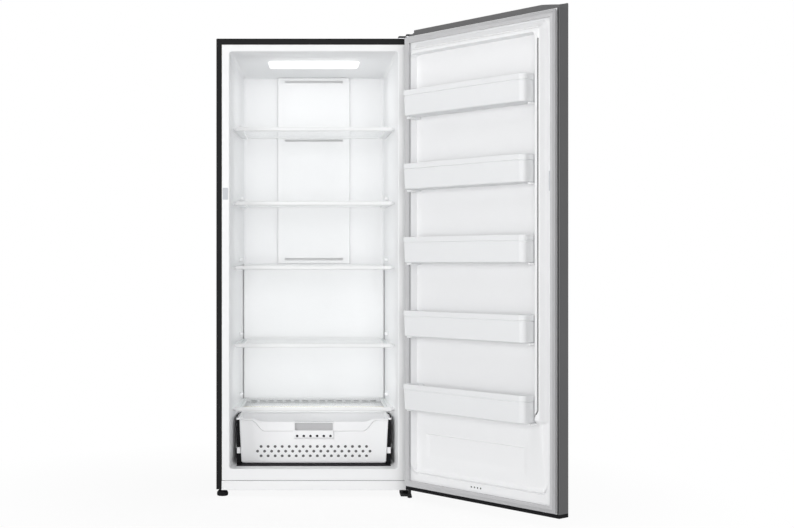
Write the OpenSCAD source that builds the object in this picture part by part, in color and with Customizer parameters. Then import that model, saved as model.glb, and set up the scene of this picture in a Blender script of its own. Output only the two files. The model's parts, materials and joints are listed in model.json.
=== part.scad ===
// Upright single-door fridge freezer, standing with its door open.
// X runs to the right, Y runs into the cabinet, Z runs up.
// The origin is on the floor, midway across the cabinet, under its front face.

/* [Cabinet] */
// Width of the cabinet and of the door
cab_w = 830; // [760:1:900]
// Height of the cabinet's top over the floor
cab_top = 1949; // [1900:1:2050]
// Depth of the cabinet behind its front face
cab_d = 675; // [660:1:760]
// Height of the cabinet's lower edge over the floor
cab_z0 = 30; // [28:1:36]
// Thickness of the steel sheets
sheet_t = 1.2; // [0.8:0.1:2]
// Width of the steel edge that shows at the front of each side
rim_w = 21; // [14:1:26]
// Height of the steel edge that shows at the front of the top
rim_h = 24; // [16:1:30]
// Height of the seam between the kick panel and the liner
kick_top = 68.5; // [60:0.5:76]

/* [Liner] */
// Wall of the plastic liner
liner_t = 2; // [1.5:0.1:3]
// Width of the liner's front flange at each side
flange_w = 35.5; // [30:0.5:42]
// Height of the liner's front flange above the opening
flange_h = 31; // [26:0.5:40]
// Height of the compartment's floor
floor_z = 117; // [106:1:124]
// Thickness of the back wall with its insulation
back_t = 80; // [72:1:90]
// How much each side and the ceiling draw in towards the back
draft = 27.5; // [20:0.5:34]
// Radius of the opening's corners
mouth_r = 11; // [4:1:20]
// Depth of the pocket for the evaporator in the back wall
pocket_d = 25; // [20:1:32]
// Distance of the evaporator's pocket from the side walls
pocket_side = 31; // [20:1:50]

/* [Shelves] */
// Height of the first shelf from the top
shelf_1_z = 1575; // [1500:1:1640]
// Height of the second shelf
shelf_2_z = 1252; // [1180:1:1320]
// Height of the third shelf
shelf_3_z = 972; // [940:1:978]
// Height of the fourth shelf
shelf_4_z = 633; // [560:1:700]
// Height of the fifth shelf over the step in the liner's floor
shelf_rise = 16; // [14:0.5:30]
// Distance of the shelves' front edge behind the cabinet's front
shelf_y = 120; // [112:1:140]
// Gap between a shelf's rear and the evaporator's cover
shelf_back = 7; // [4:0.5:30]
// Gap between a shelf's front trim and the side walls
trim_side = 14.4; // [10:0.1:20]
// Height of a shelf's front trim
trim_h = 15; // [13:0.5:18]
// Depth of a shelf's front trim
trim_d = 12; // [10:0.5:16]
// How far a shelf's front trim reaches past the glass at each end
glass_inset = 16; // [12:0.5:20]
// Thickness of a shelf's glass
glass_t = 4; // [3.2:0.1:5]
// Thickness of the ledges that carry the shelves
ledge_t = 7; // [5:0.5:8]
// How far the glass lies over each ledge
ledge_lap = 12; // [8:0.5:20]
// Distance of the ledges' rear end from the shelf's rear
ledge_back = 12; // [8:0.5:20]
// Height of the small stops over the ledges
stop_up = 26; // [20:1:32]
// Length of the small stops
stop_l = 26; // [20:1:32]
// Height of the small stops themselves
stop_h = 14; // [10:0.5:16]

/* [Drawer] */
// Gap between the drawer's rim and the side walls
drawer_side = 2.7; // [2:0.1:8]
// How far the drawer's rim stands out at each side
drawer_lip = 12; // [10:0.5:18]
// How much each side of the drawer draws in towards its bottom
drawer_taper = 8; // [4:0.5:16]
// Gap under the drawer
drawer_under = 5; // [4:0.5:9]
// Gap between the drawer's rim and the lowest shelf's middle
drawer_head = 36; // [30:0.5:44]
// Distance of the drawer's front behind the cabinet's front
drawer_y = 125; // [118:1:140]
// Gap between the drawer's back and the step in the liner
drawer_back = 13; // [8:0.5:33]
// Wall of the drawer
drawer_t = 2.5; // [2:0.1:4]
// Width of the drawer's handle plate
handle_w = 173; // [150:1:200]
// Diameter of the vent holes in the drawer's front
vent_d = 10.5; // [8:0.5:12]
// Distance from one vent hole to the next
vent_pitch = 30.6; // [28:0.1:34]
// Distance between the rows of vent holes
vent_row = 21.3; // [19:0.1:24]
// Height of the middle row over the drawer's bottom
vent_up = 53; // [48:0.5:58]
// Diameter of the small holes under the grip
peep_d = 8.6; // [7:0.2:10]
// Distance from one small hole to the next
peep_pitch = 29; // [25:0.5:31]
// How far the front's lower part stands proud
step_t = 2.5; // [1.5:0.1:3]
// How far the handle plate stands proud
handle_t = 5; // [4:0.1:6]
// Height of the drawer's fins over its bottom
slide_up = 70; // [64:1:76]

/* [Door] */
// Height of the door's lower edge
door_z0 = 37; // [36:0.5:42]
// How far the door stands above the cabinet
door_over = 22; // [18:1:30]
// Thickness of the door without its gasket
door_t = 60; // [56:1:70]
// Gap between the closed door and the cabinet, filled by the gasket
door_gap = 15; // [14:0.5:18]
// Height of the door's upper cap
cap_top_h = 23; // [20:1:30]
// Height of the door's lower cap
cap_low_h = 14; // [12:1:20]
// Angle at which the door stands open
door_open = 129.6; // [90:0.1:132]
// Distance of the hinge axis from the side of the door
hinge_side = 9; // [8.5:0.5:10]
// Distance of the hinge axis from the door's inner face
hinge_in = 16; // [14:0.5:18]
// Width of the gasket
gasket_w = 26; // [22:0.5:28]
// Distance of the gasket from the door's sides
gasket_inset = 8; // [3:0.5:10]
// Distance of the raised rim from the door's upper cap
dike_top = 60; // [58:1:70]
// Height of the raised rim's crest across the top
dike_w = 15; // [12:0.5:18]
// Distance of the raised rim from the door's side at the hinge
dike_hinge = 61; // [60:0.5:70]
// Width of its crest at the hinge
dike_hinge_w = 12; // [10:0.5:18]
// Distance of the raised rim from the door's side at the free edge
dike_free = 68; // [62:0.5:76]
// Width of its crest at the free edge
dike_free_w = 24; // [14:0.5:28]
// Height of the raised rim
dike_h = 38; // [30:1:42]
// Wall of the door's liner
door_liner_t = 2; // [1.5:0.1:3]
// Depth of the grip pocket in the door's front
grip_d = 26; // [20:1:32]
// Width of the grip pocket
grip_w = 32; // [26:1:40]
// Height of the grip pocket
grip_h = 420; // [300:1:600]
// Distance of the grip pocket from the door's free side
grip_side = 20; // [18:1:30]
// Width of the touch panel
panel_w = 140; // [120:1:160]
// Height of the touch panel
panel_h = 40; // [32:1:48]
// Height of the touch panel's middle over the floor
panel_z = 1500; // [1400:1:1600]
// Depth of the touch panel
panel_d = 8; // [6:0.5:10]
// Height of the raised plate on the liner's lower part
plate_h = 3; // [2:0.5:4]
// Width of the space over the hinge's arm in the door's top
recess_w = 50; // [48:1:54]
// Depth of that space
recess_d = 43; // [41:1:46]

/* [Door bins] */
// Height of the lowest bin's underside
bin_z0 = 388; // [370:1:400]
// Height left clear over the top bin
bin_head = 182; // [120:1:240]
// Height of a bin
bin_h = 106; // [90:1:120]
// Height of a bin's lower, prouder band
bin_band = 86; // [70:1:88]
// Distance of a bin's front from the door's inner face
bin_reach = 96; // [86:1:100]
// Radius of a bin's front corners
bin_r = 25; // [16:1:32]
// Wall of a bin
bin_t = 2.5; // [2:0.1:4]
// Set-back of a bin's upper band
bin_step = 3; // [2:0.5:4]
// Gap between a bin and the raised rim at the free edge
bin_gap_free = 1; // [0.6:0.1:4]
// Gap between a bin and the raised rim at the hinge
bin_gap_hinge = 17; // [4:0.5:24]
// Gap between a bin's back and the door's inner face
bin_back = 5.3; // [4.8:0.1:8]
// Height of the rests under a bin's ends
rest_h = 9; // [6:0.5:12]
// How far a bin's ends lie on the rests
rest_lap = 9; // [6:0.5:12]

/* [Lamp and air] */
// Width of the lamp's lens
lamp_w = 404; // [360:1:440]
// Depth of the lamp's lens
lamp_d = 135; // [110:1:150]
// Distance of the lamp behind the cabinet's front
lamp_y = 212; // [190:1:230]
// Radius of the lens's corners
lamp_r = 14; // [8:0.5:20]
// Width of the air duct's cover
duct_w = 340; // [320:1:360]
// Depth of the air duct's cover
duct_d = 12; // [10:0.5:14]
// Distance of the duct's outlets from its sides
slot_side = 34; // [20:1:50]
// Height of the duct's outlets
slot_h = 8; // [6:0.5:10]
// Distance of the end outlets from the duct's ends
slot_end = 18; // [14:1:22]
// Distance from one slot to the next along the foot of the evaporator's cover
grille_pitch = 40; // [36:0.5:42]
// Width of one of those slots
grille_w = 28; // [24:0.5:30]
// Height of the evaporator cover's top
evap_top = 990; // [986:1:1000]
// Depth of the evaporator's cover
evap_d = 30; // [26:1:32]
// Radius of the evaporator fan
fan_r = 46; // [40:1:50]
// Depth of the evaporator fan
fan_t = 16; // [12:0.5:18]
// Distance of the fan's axis under the evaporator cover's top
fan_drop = 85; // [80:1:95]

/* [Machine space] */
// Depth of the machine space
machine_d = 235; // [225:1:240]
// Height of the machine space's ceiling
machine_z1 = 300; // [294:1:302]
// Thickness of the insulation over the machine space
hump_t = 40; // [36:1:44]
// Thickness of the base frame's steel
frame_t = 2; // [1.6:0.1:3]
// Radius of the compressor
comp_r = 84; // [76:1:90]
// Height of the compressor
comp_h = 190; // [170:1:200]
// Radius of the condenser fan
cond_fan_r = 62; // [50:1:70]

/* [Stand] */
// Diameter of the left foot
foot_d = 48; // [40:1:50]
// Height of the left foot's pad
foot_h = 24; // [18:0.5:25]
// Distance of the left foot behind the cabinet's front
foot_y = 27; // [26:0.5:30]
// Diameter of the foot under the hinge
knob_d = 19; // [14:1:20]
// Height of the foot under the hinge
knob_h = 9; // [7:0.5:10]
// Diameter of the rear rollers
roller_d = 26; // [20:1:27]
// Width of the rear rollers
roller_w = 22; // [16:1:26]
// Distance of the rollers from the cabinet's sides
roller_side = 36; // [30:1:60]
// Distance of the rollers' axles from the cabinet's back
roller_back = 40; // [30:1:60]
// Thickness of the hinge brackets
bracket_t = 4; // [3:0.5:5]
// Diameter of the hinge pins
pin_d = 9; // [8:0.5:10]

/* [Fits] */
// Radial clearance of a pin in its bush or hub
pin_clear = 0.05; // [0.03:0.01:0.1]
// Gap between a piece that slides out and its seat
seat_clear = 0.3; // [0.2:0.1:0.6]

/* [Hidden] */
$fn = 48;
eps = 1;
cab_hw = cab_w / 2;
in_hw = cab_hw - sheet_t;
open_hw = cab_hw - rim_w - flange_w;
open_z1 = cab_top - rim_h - flange_h;
back_hw = open_hw - draft;
int_d = cab_d - back_t;
pocket_w = 2 * (back_hw - pocket_side);
liner_hw = cab_hw - rim_w;
liner_z1 = cab_top - rim_h;
machine_y = cab_d - machine_d;
hump_y = machine_y - hump_t - liner_t;
hump_z = machine_z1 + hump_t;
pocket_y = int_d + pocket_d;
door_z1 = cab_top + door_over;
door_in = -door_gap;
door_out = door_in - door_t;
hinge_x = cab_hw - hinge_side;
hinge_y = door_in - hinge_in;
dike_z1 = door_z1 - cap_top_h - dike_top;
dike_x0 = -cab_hw + dike_free;
dike_x1 = cab_hw - dike_hinge;
bin_pitch = (dike_z1 - bin_head - bin_h - bin_z0) / 4;
bin_x0 = dike_x0 + dike_free_w + bin_gap_free;
bin_x1 = dike_x1 - dike_hinge_w - bin_gap_hinge;
bin_in = door_in + bin_back;
bin_out = door_in + bin_reach;
shelf_5_z = hump_z + shelf_rise;
shelf_zs = [shelf_1_z, shelf_2_z, shelf_3_z, shelf_4_z, shelf_5_z];
glass_up = trim_h / 2 - glass_t;
shelf_d = int_d - evap_d - shelf_back - shelf_y;
trim_w = 2 * (wall_at(shelf_y + trim_d) - trim_side);
glass_w = trim_w - 2 * glass_inset;
ledge_gap = glass_w - 2 * ledge_lap;
drawer_z0 = floor_z + drawer_under;
drawer_z1 = shelf_5_z - drawer_head;
drawer_d = hump_y - drawer_back - drawer_y;
drawer_w = 2 * (wall_at(drawer_y + drawer_d) - drawer_side);
front_w = drawer_w - 2 * drawer_lip;
base_w = front_w - 2 * drawer_taper;
slide_z = drawer_z0 + slide_up;
slot_w = duct_w - 2 * slot_side;
slot_zs = [evap_top + slot_end, shelf_1_z - slot_end / 2, open_z1 - draft - slot_end];
fan_y = int_d - evap_d + 5;
fan_z = evap_top - fan_drop;
shaft_r = 2.5;
tube_r = 4;
screw_r = 3.1;
screw_head_r = 5.5;
screw_head_h = 2.4;
hole_r = 3.2;
stem_r = 5;
knob_stem_r = 2.5;
axle_r = 3;
bracket_x0 = hinge_x - 39;
foot_x = -cab_hw + foot_d / 2 + 1;
roller_x = cab_hw - roller_side;
roller_y = cab_d - roller_back;
recess_z = cab_top - 2;
comp_bolt = [70, 62];
foot_z = 16;
grommet_r = 6;
white = [0.95, 0.95, 0.96];
steel_dark = [0.37, 0.37, 0.38];

// Half width of the compartment at a depth
function wall_at(y) = open_hw - draft * y / int_d;

// Height of the compartment's ceiling at a depth
function ceiling_at(y) = open_z1 - draft * y / int_d;

// Box from its low corner to its high corner
module span(low, high) {
    translate(low) cube(high - low);
}

// The children and their mirror image at the other side
module both_sides() {
    children();
    mirror([1, 0, 0]) children();
}

// Plan outline raised between two heights
module plan(points, z0, z1) {
    translate([0, 0, z0]) linear_extrude(z1 - z0) polygon(points);
}

// Side outline, given as depth and height, carried across between two places
module side(points, x0, x1) {
    translate([x0, 0, 0]) rotate([90, 0, 90]) linear_extrude(x1 - x0) polygon(points);
}

// Front outline carried backwards between two depths
module front(y0, y1) {
    translate([0, y1, 0]) rotate([90, 0, 0]) linear_extrude(y1 - y0) children();
}

// Rectangle with round corners, given by its low and high corners
module rounded(low, high, r) {
    translate([low[0] + r, low[1]]) square([high[0] - low[0] - 2 * r, high[1] - low[1]]);
    translate([low[0], low[1] + r]) square([high[0] - low[0], high[1] - low[1] - 2 * r]);
    for (x = [low[0] + r, high[0] - r], y = [low[1] + r, high[1] - r])
        translate([x, y]) circle(r);
}

// Rod along X, Y or Z between two places
module rod_x(x0, x1, r) {
    translate([x0, 0, 0]) rotate([0, 90, 0]) cylinder(x1 - x0, r, r);
}
module rod_y(y0, y1, r) {
    translate([0, y1, 0]) rotate([90, 0, 0]) cylinder(y1 - y0, r, r);
}

// The food compartment, grown on every side by t and starting at a depth
module tub(t, y0) {
    low = floor_z - t;
    intersection() {
        union() {
            intersection() {
                plan([[-wall_at(y0) - t, y0], [wall_at(y0) + t, y0],
                      [back_hw + t, int_d + t], [-back_hw - t, int_d + t]],
                     low - eps, open_z1 + eps * 9);
                side([[y0, low], [hump_y + t, low], [hump_y + t, hump_z - t],
                      [int_d + t, hump_z - t], [int_d + t, ceiling_at(int_d) + t],
                      [y0, ceiling_at(y0) + t]], -cab_hw, cab_hw);
            }
            span([-pocket_w / 2 - t, int_d - eps, hump_z - t],
                 [pocket_w / 2 + t, pocket_y + t, evap_top + t]);
        }
        front(y0, pocket_y + t + eps)
            rounded([-wall_at(y0) - t, low], [wall_at(y0) + t, ceiling_at(y0) + t], mouth_r + t);
    }
}

// Everything the liner fills and holds, out to its outer faces
module liner_block() {
    span([-liner_hw, 0, kick_top], [liner_hw, liner_t, liner_z1]);
    tub(liner_t, 0);
}

// Ledges and stops that carry one shelf at the side walls
module shelf_seats(z) {
    y0 = shelf_y + trim_d + 1;
    y1 = shelf_y + shelf_d - ledge_back;
    top = z + glass_up - seat_clear;
    stop_y = shelf_y + shelf_d * 0.66;
    stop_x = back_hw - 7;
    both_sides() {
        span([ledge_gap / 2, y0, top - ledge_t], [open_hw, y1, top]);
        span([stop_x, stop_y, top + stop_up], [open_hw, stop_y + stop_l, top + stop_up + stop_h]);
    }
}

module cabinet_shell() {
    color([0.17, 0.17, 0.18])
    union() {
        both_sides() {
            span([in_hw, 0, cab_z0], [cab_hw, cab_d, cab_top]);
            span([liner_hw, 0, cab_z0], [cab_hw, sheet_t, cab_top]);
        }
        span([-cab_hw, 0, cab_top - sheet_t], [cab_hw, cab_d, cab_top]);
        span([-cab_hw, 0, liner_z1], [cab_hw, sheet_t, cab_top]);
    }
}

module back_panel() {
    color([0.75, 0.76, 0.78])
    span([-in_hw, cab_d - sheet_t, machine_z1], [in_hw, cab_d, cab_top - sheet_t]);
}

// Bent sheet under the insulation, over and in front of the machine space
module cabinet_floor() {
    color([0.72, 0.73, 0.75])
    side([[liner_t, kick_top], [machine_y, kick_top], [machine_y, machine_z1],
          [cab_d - sheet_t, machine_z1], [cab_d - sheet_t, machine_z1 + sheet_t],
          [machine_y - sheet_t, machine_z1 + sheet_t], [machine_y - sheet_t, kick_top + sheet_t],
          [liner_t, kick_top + sheet_t]], -in_hw, in_hw);
}

module foam_insulation() {
    color([0.93, 0.88, 0.68])
    difference() {
        side([[sheet_t, kick_top + sheet_t], [machine_y - sheet_t, kick_top + sheet_t],
              [machine_y - sheet_t, machine_z1 + sheet_t], [cab_d - sheet_t, machine_z1 + sheet_t],
              [cab_d - sheet_t, cab_top - sheet_t], [sheet_t, cab_top - sheet_t]], -in_hw, in_hw);
        liner_block();
    }
}

module inner_liner() {
    color(white)
    difference() {
        union() {
            difference() {
                liner_block();
                tub(0, -eps);
            }
            intersection() {
                for (z = shelf_zs) shelf_seats(z);
                tub(liner_t / 2, 0);
            }
        }
        sensor_body();
    }
}

module kick_panel() {
    color(white)
    span([-liner_hw, 0, cab_z0], [liner_hw, liner_t, kick_top]);
}

// Side rails, front bar with its ears, and the tray that carries the compressor
module base_frame() {
    ear = 54;
    rail_w = 44;
    color([0.45, 0.46, 0.48])
    difference() {
        union() {
            both_sides() {
                span([in_hw - rail_w, liner_t, cab_z0], [in_hw, cab_d - sheet_t, cab_z0 + frame_t]);
                span([in_hw - frame_t, liner_t, cab_z0], [in_hw, cab_d - sheet_t, kick_top]);
            }
            span([-in_hw, liner_t, cab_z0], [in_hw, liner_t + ear, cab_z0 + frame_t]);
            span([-in_hw, liner_t, cab_z0], [in_hw, liner_t + frame_t, kick_top]);
            span([-in_hw, machine_y, cab_z0], [in_hw, cab_d - sheet_t, cab_z0 + frame_t]);
        }
        translate([foot_x, foot_y, cab_z0 - eps])
            cylinder(frame_t + 2 * eps, stem_r + pin_clear, stem_r + pin_clear);
    }
}

// Hollow cover with its outlets, open towards the back wall
module air_duct_cover() {
    top = ceiling_at(int_d) - liner_t;
    color([0.97, 0.97, 0.98])
    difference() {
        span([-duct_w / 2, int_d - duct_d, evap_top], [duct_w / 2, int_d, top]);
        span([-duct_w / 2 + liner_t, int_d - duct_d + liner_t, evap_top - eps],
             [duct_w / 2 - liner_t, int_d + eps, top - liner_t]);
        for (z = slot_zs)
            span([-slot_w / 2, int_d - duct_d - eps, z], [slot_w / 2, int_d - duct_d + 2 * liner_t, z + slot_h]);
    }
}

// Hollow cover over the evaporator, open towards the back wall
module evaporator_cover() {
    y0 = int_d - evap_d;
    hw = wall_at(int_d);
    bevel = 14;
    grille_z = hump_z + 3;
    color([0.96, 0.96, 0.97])
    difference() {
        side([[y0, hump_z], [int_d, hump_z], [int_d, evap_top], [y0 + bevel, evap_top],
              [y0, evap_top - bevel]], -hw, hw);
        side([[y0 + liner_t, hump_z - eps], [int_d + eps, hump_z - eps],
              [int_d + eps, evap_top - liner_t], [y0 + bevel, evap_top - liner_t],
              [y0 + liner_t, evap_top - bevel - 1]], -hw + liner_t, hw - liner_t);
        span([-duct_w / 2 + liner_t, int_d - duct_d + liner_t, evap_top - 2 * liner_t],
             [duct_w / 2 - liner_t, int_d + eps, evap_top + eps]);
        for (i = [-7 : 7]) translate([i * grille_pitch, y0, grille_z])
            span([-grille_w / 2, -eps, 0], [grille_w / 2, 2 * liner_t, slot_h]);
    }
}

// Tube that runs to and fro across a coil, with its bends
module serpentine(rows, pitch, reach, r) {
    for (i = [0 : rows - 1]) translate([0, 0, i * pitch]) rod_x(-reach, reach, r);
    for (i = [0 : rows - 2])
        translate([i % 2 == 0 ? reach : -reach, 0, (i + 0.5) * pitch])
            rotate([90, i % 2 == 0 ? 0 : 180, 0])
                rotate([0, 0, -90]) rotate_extrude(angle = 180) translate([pitch / 2, 0]) circle(r);
}

module evaporator_coil() {
    pitch = 56;
    z0 = hump_z + 60;
    rows = floor((fan_z - fan_r - 10 - z0) / pitch);
    reach = pocket_w / 2 - 54;
    fin_y = int_d - 20;
    fin_z0 = z0 - 24;
    fin_z1 = z0 + rows * pitch - 30;
    fin_hw = 0.6;
    color([0.78, 0.79, 0.8]) {
        translate([0, int_d, z0]) serpentine(rows, pitch, reach, tube_r);
        for (i = [-6 : 6]) translate([i * reach / 7, 0, 0])
            span([-fin_hw, fin_y, fin_z0], [fin_hw, pocket_y, fin_z1]);
    }
}

// Motor can on a three-armed bracket
module evaporator_fan_motor() {
    can_r = 19;
    arm_t = 4;
    arm_hw = 5;
    color([0.3, 0.3, 0.32])
    translate([0, 0, fan_z]) {
        rod_y(fan_y + fan_t + 2, pocket_y, can_r);
        rod_y(fan_y + 4, fan_y + fan_t + 3, shaft_r);
        for (a = [90 : 120 : 330])
            rotate([0, a, 0]) span([0, pocket_y - arm_t, -arm_hw], [fan_r + 12, pocket_y, arm_hw]);
    }
}

// Hub with its blades along Z, resting on z = 0
module blades(r, count, thick, bore) {
    difference() {
        union() {
            cylinder(thick, r * 0.28, r * 0.28);
            for (i = [0 : count - 1])
                rotate([0, 0, i * 360 / count]) translate([r * 0.2, 0, thick / 2])
                    rotate([32, 0, 0]) translate([0, -r * 0.24, -1]) cube([r * 0.78, r * 0.48, 2]);
        }
        translate([0, 0, -eps]) cylinder(thick - 2 + eps, bore, bore);
        translate([0, 0, -r]) cylinder(r, r * 1.2, r * 1.2);
        translate([0, 0, thick]) cylinder(r, r * 1.2, r * 1.2);
    }
}

module evaporator_fan() {
    color([0.2, 0.2, 0.22])
    translate([0, fan_y + fan_t, fan_z]) rotate([90, 0, 0]) blades(fan_r, 5, fan_t, shaft_r + pin_clear);
}

// Lens outline in plan, shrunk on every side
module lamp_outline(inset) {
    rounded([-lamp_w / 2 + inset, lamp_y + inset],
            [lamp_w / 2 - inset, lamp_y + lamp_d - inset], lamp_r - inset);
}

module light_lens() {
    hang = 7;
    tall = 30;
    z = ceiling_at(lamp_y + lamp_d) - hang;
    color([1, 1, 0.97])
    intersection() {
        difference() {
            translate([0, 0, z]) linear_extrude(tall) lamp_outline(0);
            translate([0, 0, z + liner_t]) linear_extrude(tall) lamp_outline(liner_t);
        }
        tub(0, 0);
    }
}

// Board with its row of lamps, against the ceiling inside the lens
module led_board() {
    mid = lamp_y + lamp_d / 2;
    z = ceiling_at(mid) - 4;
    hw = lamp_w / 2 - 20;
    hd = lamp_d * 0.15;
    chip = 3;
    color([0.85, 0.88, 0.7])
    intersection() {
        union() {
            span([-hw, mid - hd, z], [hw, mid + hd, z + 20]);
            for (i = [-4 : 4]) translate([i * hw / 4.55, mid, z]) span([-chip, -chip, -1], [chip, chip, 0]);
        }
        tub(0, 0);
    }
}

// Cover of the switch that feels the magnet in the door
module sensor_body() {
    x = (open_hw + liner_hw) / 2;
    z = shelf_2_z + 36.5;
    hw = 11.5;
    hh = 25.5;
    span([-x - hw, -seat_clear, z - hh], [-x + hw, liner_t * 0.6, z + hh]);
}

module door_sensor() {
    color([0.8, 0.81, 0.83]) sensor_body();
}

// Centre of the compressor on its tray
comp_at = [cab_hw / 2 + 30, machine_y + machine_d / 2, cab_z0 + frame_t];

module at_mounts() {
    for (x = [-1, 1], y = [-1, 1]) translate(comp_at + [x * comp_bolt[0], y * comp_bolt[1], 0]) children();
}

module compressor() {
    plate = comp_bolt + [16, 14];
    box_hd = 34;
    color([0.12, 0.12, 0.13])
    difference() {
        union() {
            translate(comp_at + [0, 0, foot_z]) {
                rotate_extrude() polygon([[0, 0], [comp_r * 0.7, 0], [comp_r, 26], [comp_r, comp_h * 0.5],
                    [comp_r + 5, comp_h * 0.5], [comp_r + 5, comp_h * 0.53], [comp_r - 4, comp_h * 0.53],
                    [comp_r - 5, comp_h * 0.78], [comp_r * 0.62, comp_h - foot_z], [0, comp_h - foot_z]]);
                linear_extrude(4) rounded(-plate, plate, 14);
                span([-comp_r - box_hd, -box_hd, 44], [-comp_r * 0.7, box_hd, 104]);
            }
        }
        at_mounts() cylinder(2 * foot_z, grommet_r, grommet_r);
    }
}

module compressor_mounts() {
    neck_r = grommet_r - 0.1;
    color([0.1, 0.1, 0.1])
    at_mounts() {
        cylinder(foot_z, 2 * grommet_r, 2 * grommet_r);
        cylinder(foot_z + 10, neck_r, neck_r);
        translate([0, 0, foot_z + 4]) cylinder(6, grommet_r + 4, grommet_r + 4);
    }
}

module condenser_coil() {
    pitch = 36;
    rows = 5;
    reach = 105;
    hang = 40;
    fin_gap = 17;
    fin_hw = 0.8;
    fin_hd = 45;
    fin_low = 22;
    rise = (rows - 1) * pitch;
    color([0.16, 0.16, 0.17])
    translate([-cab_hw + reach + 45, machine_y + machine_d / 2, machine_z1 - hang - rise]) {
        serpentine(rows, pitch, reach, tube_r);
        for (i = [-5 : 5]) translate([i * fin_gap, 0, 0])
            span([-fin_hw, -fin_hd, -fin_low], [fin_hw, fin_hd, rise + (i % 5 == 0 ? hang : fin_low + 2)]);
    }
}

// Where the condenser fan turns
cond_fan_at = [-64, machine_y + machine_d / 2, (cab_z0 + machine_z1) / 2];

module condenser_fan_motor() {
    low = -(machine_z1 - cab_z0) / 2 + frame_t;
    can_r = 21;
    color([0.25, 0.25, 0.27])
    translate(cond_fan_at) {
        rod_x(24, 62, can_r);
        rod_x(4, 25, shaft_r);
        span([40, -9, low], [46, 9, 0]);
        span([34, -30, low], [60, 30, low + 3]);
    }
}

module condenser_fan() {
    color([0.85, 0.85, 0.86])
    translate(cond_fan_at + [20, 0, 0]) rotate([0, -90, 0]) blades(cond_fan_r, 5, 20, shaft_r + pin_clear);
}

module drip_tray() {
    wall = 2.5;
    edge = 18;
    long = 228;
    high = 34;
    at = [-cab_hw + 2 * edge, machine_y + edge, cab_z0 + frame_t];
    size = [long, machine_d - 2 * edge, high];
    color([0.3, 0.31, 0.33])
    difference() {
        translate(at) cube(size);
        translate(at + [wall, wall, wall]) cube(size - [2 * wall, 2 * wall, wall - eps]);
    }
}

module control_board() {
    size = [150, 90, 1.6];
    post = 12.4;
    low = [-40, machine_y + 30, machine_z1 - post - size[2]];
    color([0.12, 0.4, 0.25]) {
        span(low, low + size);
        for (x = [8, size[0] - 8], y = [8, size[1] - 8]) translate(low + [x, y, size[2]]) cylinder(post, 3, 3);
        span(low + [20, 20, -22], low + [60, 56, 0]);
        span(low + [80, 18, -14], low + [130, 34, 0]);
        for (i = [0 : 3]) translate(low + [84 + 14 * i, 62, -16]) cylinder(16, 5.5, 5.5);
    }
}

module machine_cover() {
    low = [-in_hw, cab_d - sheet_t, cab_z0];
    slot = [7, 56];
    pitch = 24;
    rows = [machine_z1 - 210, machine_z1 - 120];
    color([0.7, 0.71, 0.73])
    difference() {
        span(low, [in_hw, cab_d, machine_z1]);
        for (i = [-15 : 15], z = rows)
            if (abs(i) > 1) translate([i * pitch, cab_d, z])
                span([-slot[0] / 2, -2 * sheet_t, 0], [slot[0] / 2, eps, slot[1]]);
        inlet_body();
    }
}

// Socket for the supply lead
module inlet_body() {
    front(cab_d - 22, cab_d + 1.5) rounded([-14, 80], [14, 104], 4);
}

module power_inlet() {
    color([0.08, 0.08, 0.08])
    difference() {
        union() {
            inlet_body();
            front(cab_d, cab_d + 2) rounded([-24, 74], [24, 110], 5);
        }
        span([-11, cab_d - 18, 84], [11, cab_d + 4, 100]);
    }
}

// Plate on the cabinet with its arm to the hinge axis, and a tongue for its cover
module hinge_plate(grow, z0, z1) {
    arm = hinge_side + grow;
    translate([0, 0, z0]) linear_extrude(z1 - z0) {
        translate([cab_hw - 54 - grow, 8 - grow]) square([53 + 2 * grow, 66 + 2 * grow]);
        translate([hinge_x - 16, hinge_y]) square([16 + hinge_side - 1 + grow, 24 - hinge_y]);
        translate([hinge_x, hinge_y]) circle(arm - 1);
        translate([hinge_x - 8, hinge_y]) circle(arm - 1);
    }
}

module top_hinge_bracket() {
    color([0.55, 0.56, 0.58])
    difference() {
        union() {
            hinge_plate(0, cab_top, cab_top + bracket_t);
            translate([hinge_x, hinge_y, cab_top - 22]) cylinder(23, pin_d / 2, pin_d / 2);
        }
        for (p = screw_spots) translate([p[0], p[1], cab_top - eps]) cylinder(20, hole_r, hole_r);
    }
}

// Places of the screws in the upper bracket, and along the lower one
screw_spots = [[cab_hw - 40, 24], [cab_hw - 40, 58], [cab_hw - 16, 58]];
low_screws = [10, 36];

module top_hinge_cover() {
    color([0.1, 0.1, 0.11])
    difference() {
        hinge_plate(0, cab_top + bracket_t, cab_top + bracket_t + 8);
        span([cab_hw - 52, 10, cab_top], [cab_hw - 3, 72, cab_top + bracket_t + 6]);
    }
}

// Angle piece under the cabinet with the lower pin and the nut for the foot
module bottom_hinge_bracket() {
    z1 = cab_z0;
    z0 = z1 - bracket_t;
    x0 = bracket_x0;
    arm_z = z0 - 12;
    arm_r = 8;
    color([0.1, 0.1, 0.11])
    difference() {
        union() {
            span([x0, 4, z0], [cab_hw - 1, 52, z1]);
            side([[4, z0], [4, z1], [-4, z0 - 4], [-4, arm_z], [0, arm_z], [0, z0 - 4]], x0, cab_hw - 1);
            translate([0, 0, arm_z]) linear_extrude(bracket_t) {
                translate([x0, hinge_y]) square([cab_hw - 1 - x0, -hinge_y]);
                translate([x0 + arm_r, hinge_y - arm_r]) square([cab_hw - 1 - x0 - 2 * arm_r, arm_r]);
                translate([x0 + arm_r, hinge_y]) circle(arm_r);
                translate([hinge_x, hinge_y]) circle(arm_r);
            }
            translate([hinge_x, hinge_y, arm_z + 3]) cylinder(door_z0 + 20 - arm_z - 3, pin_d / 2, pin_d / 2);
        }
        translate([hinge_x, hinge_y, arm_z - eps]) cylinder(3, knob_stem_r, knob_stem_r);
        for (x = low_screws) translate([x0 + x, 26, z0 - eps]) cylinder(20, hole_r, hole_r);
    }
}

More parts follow.
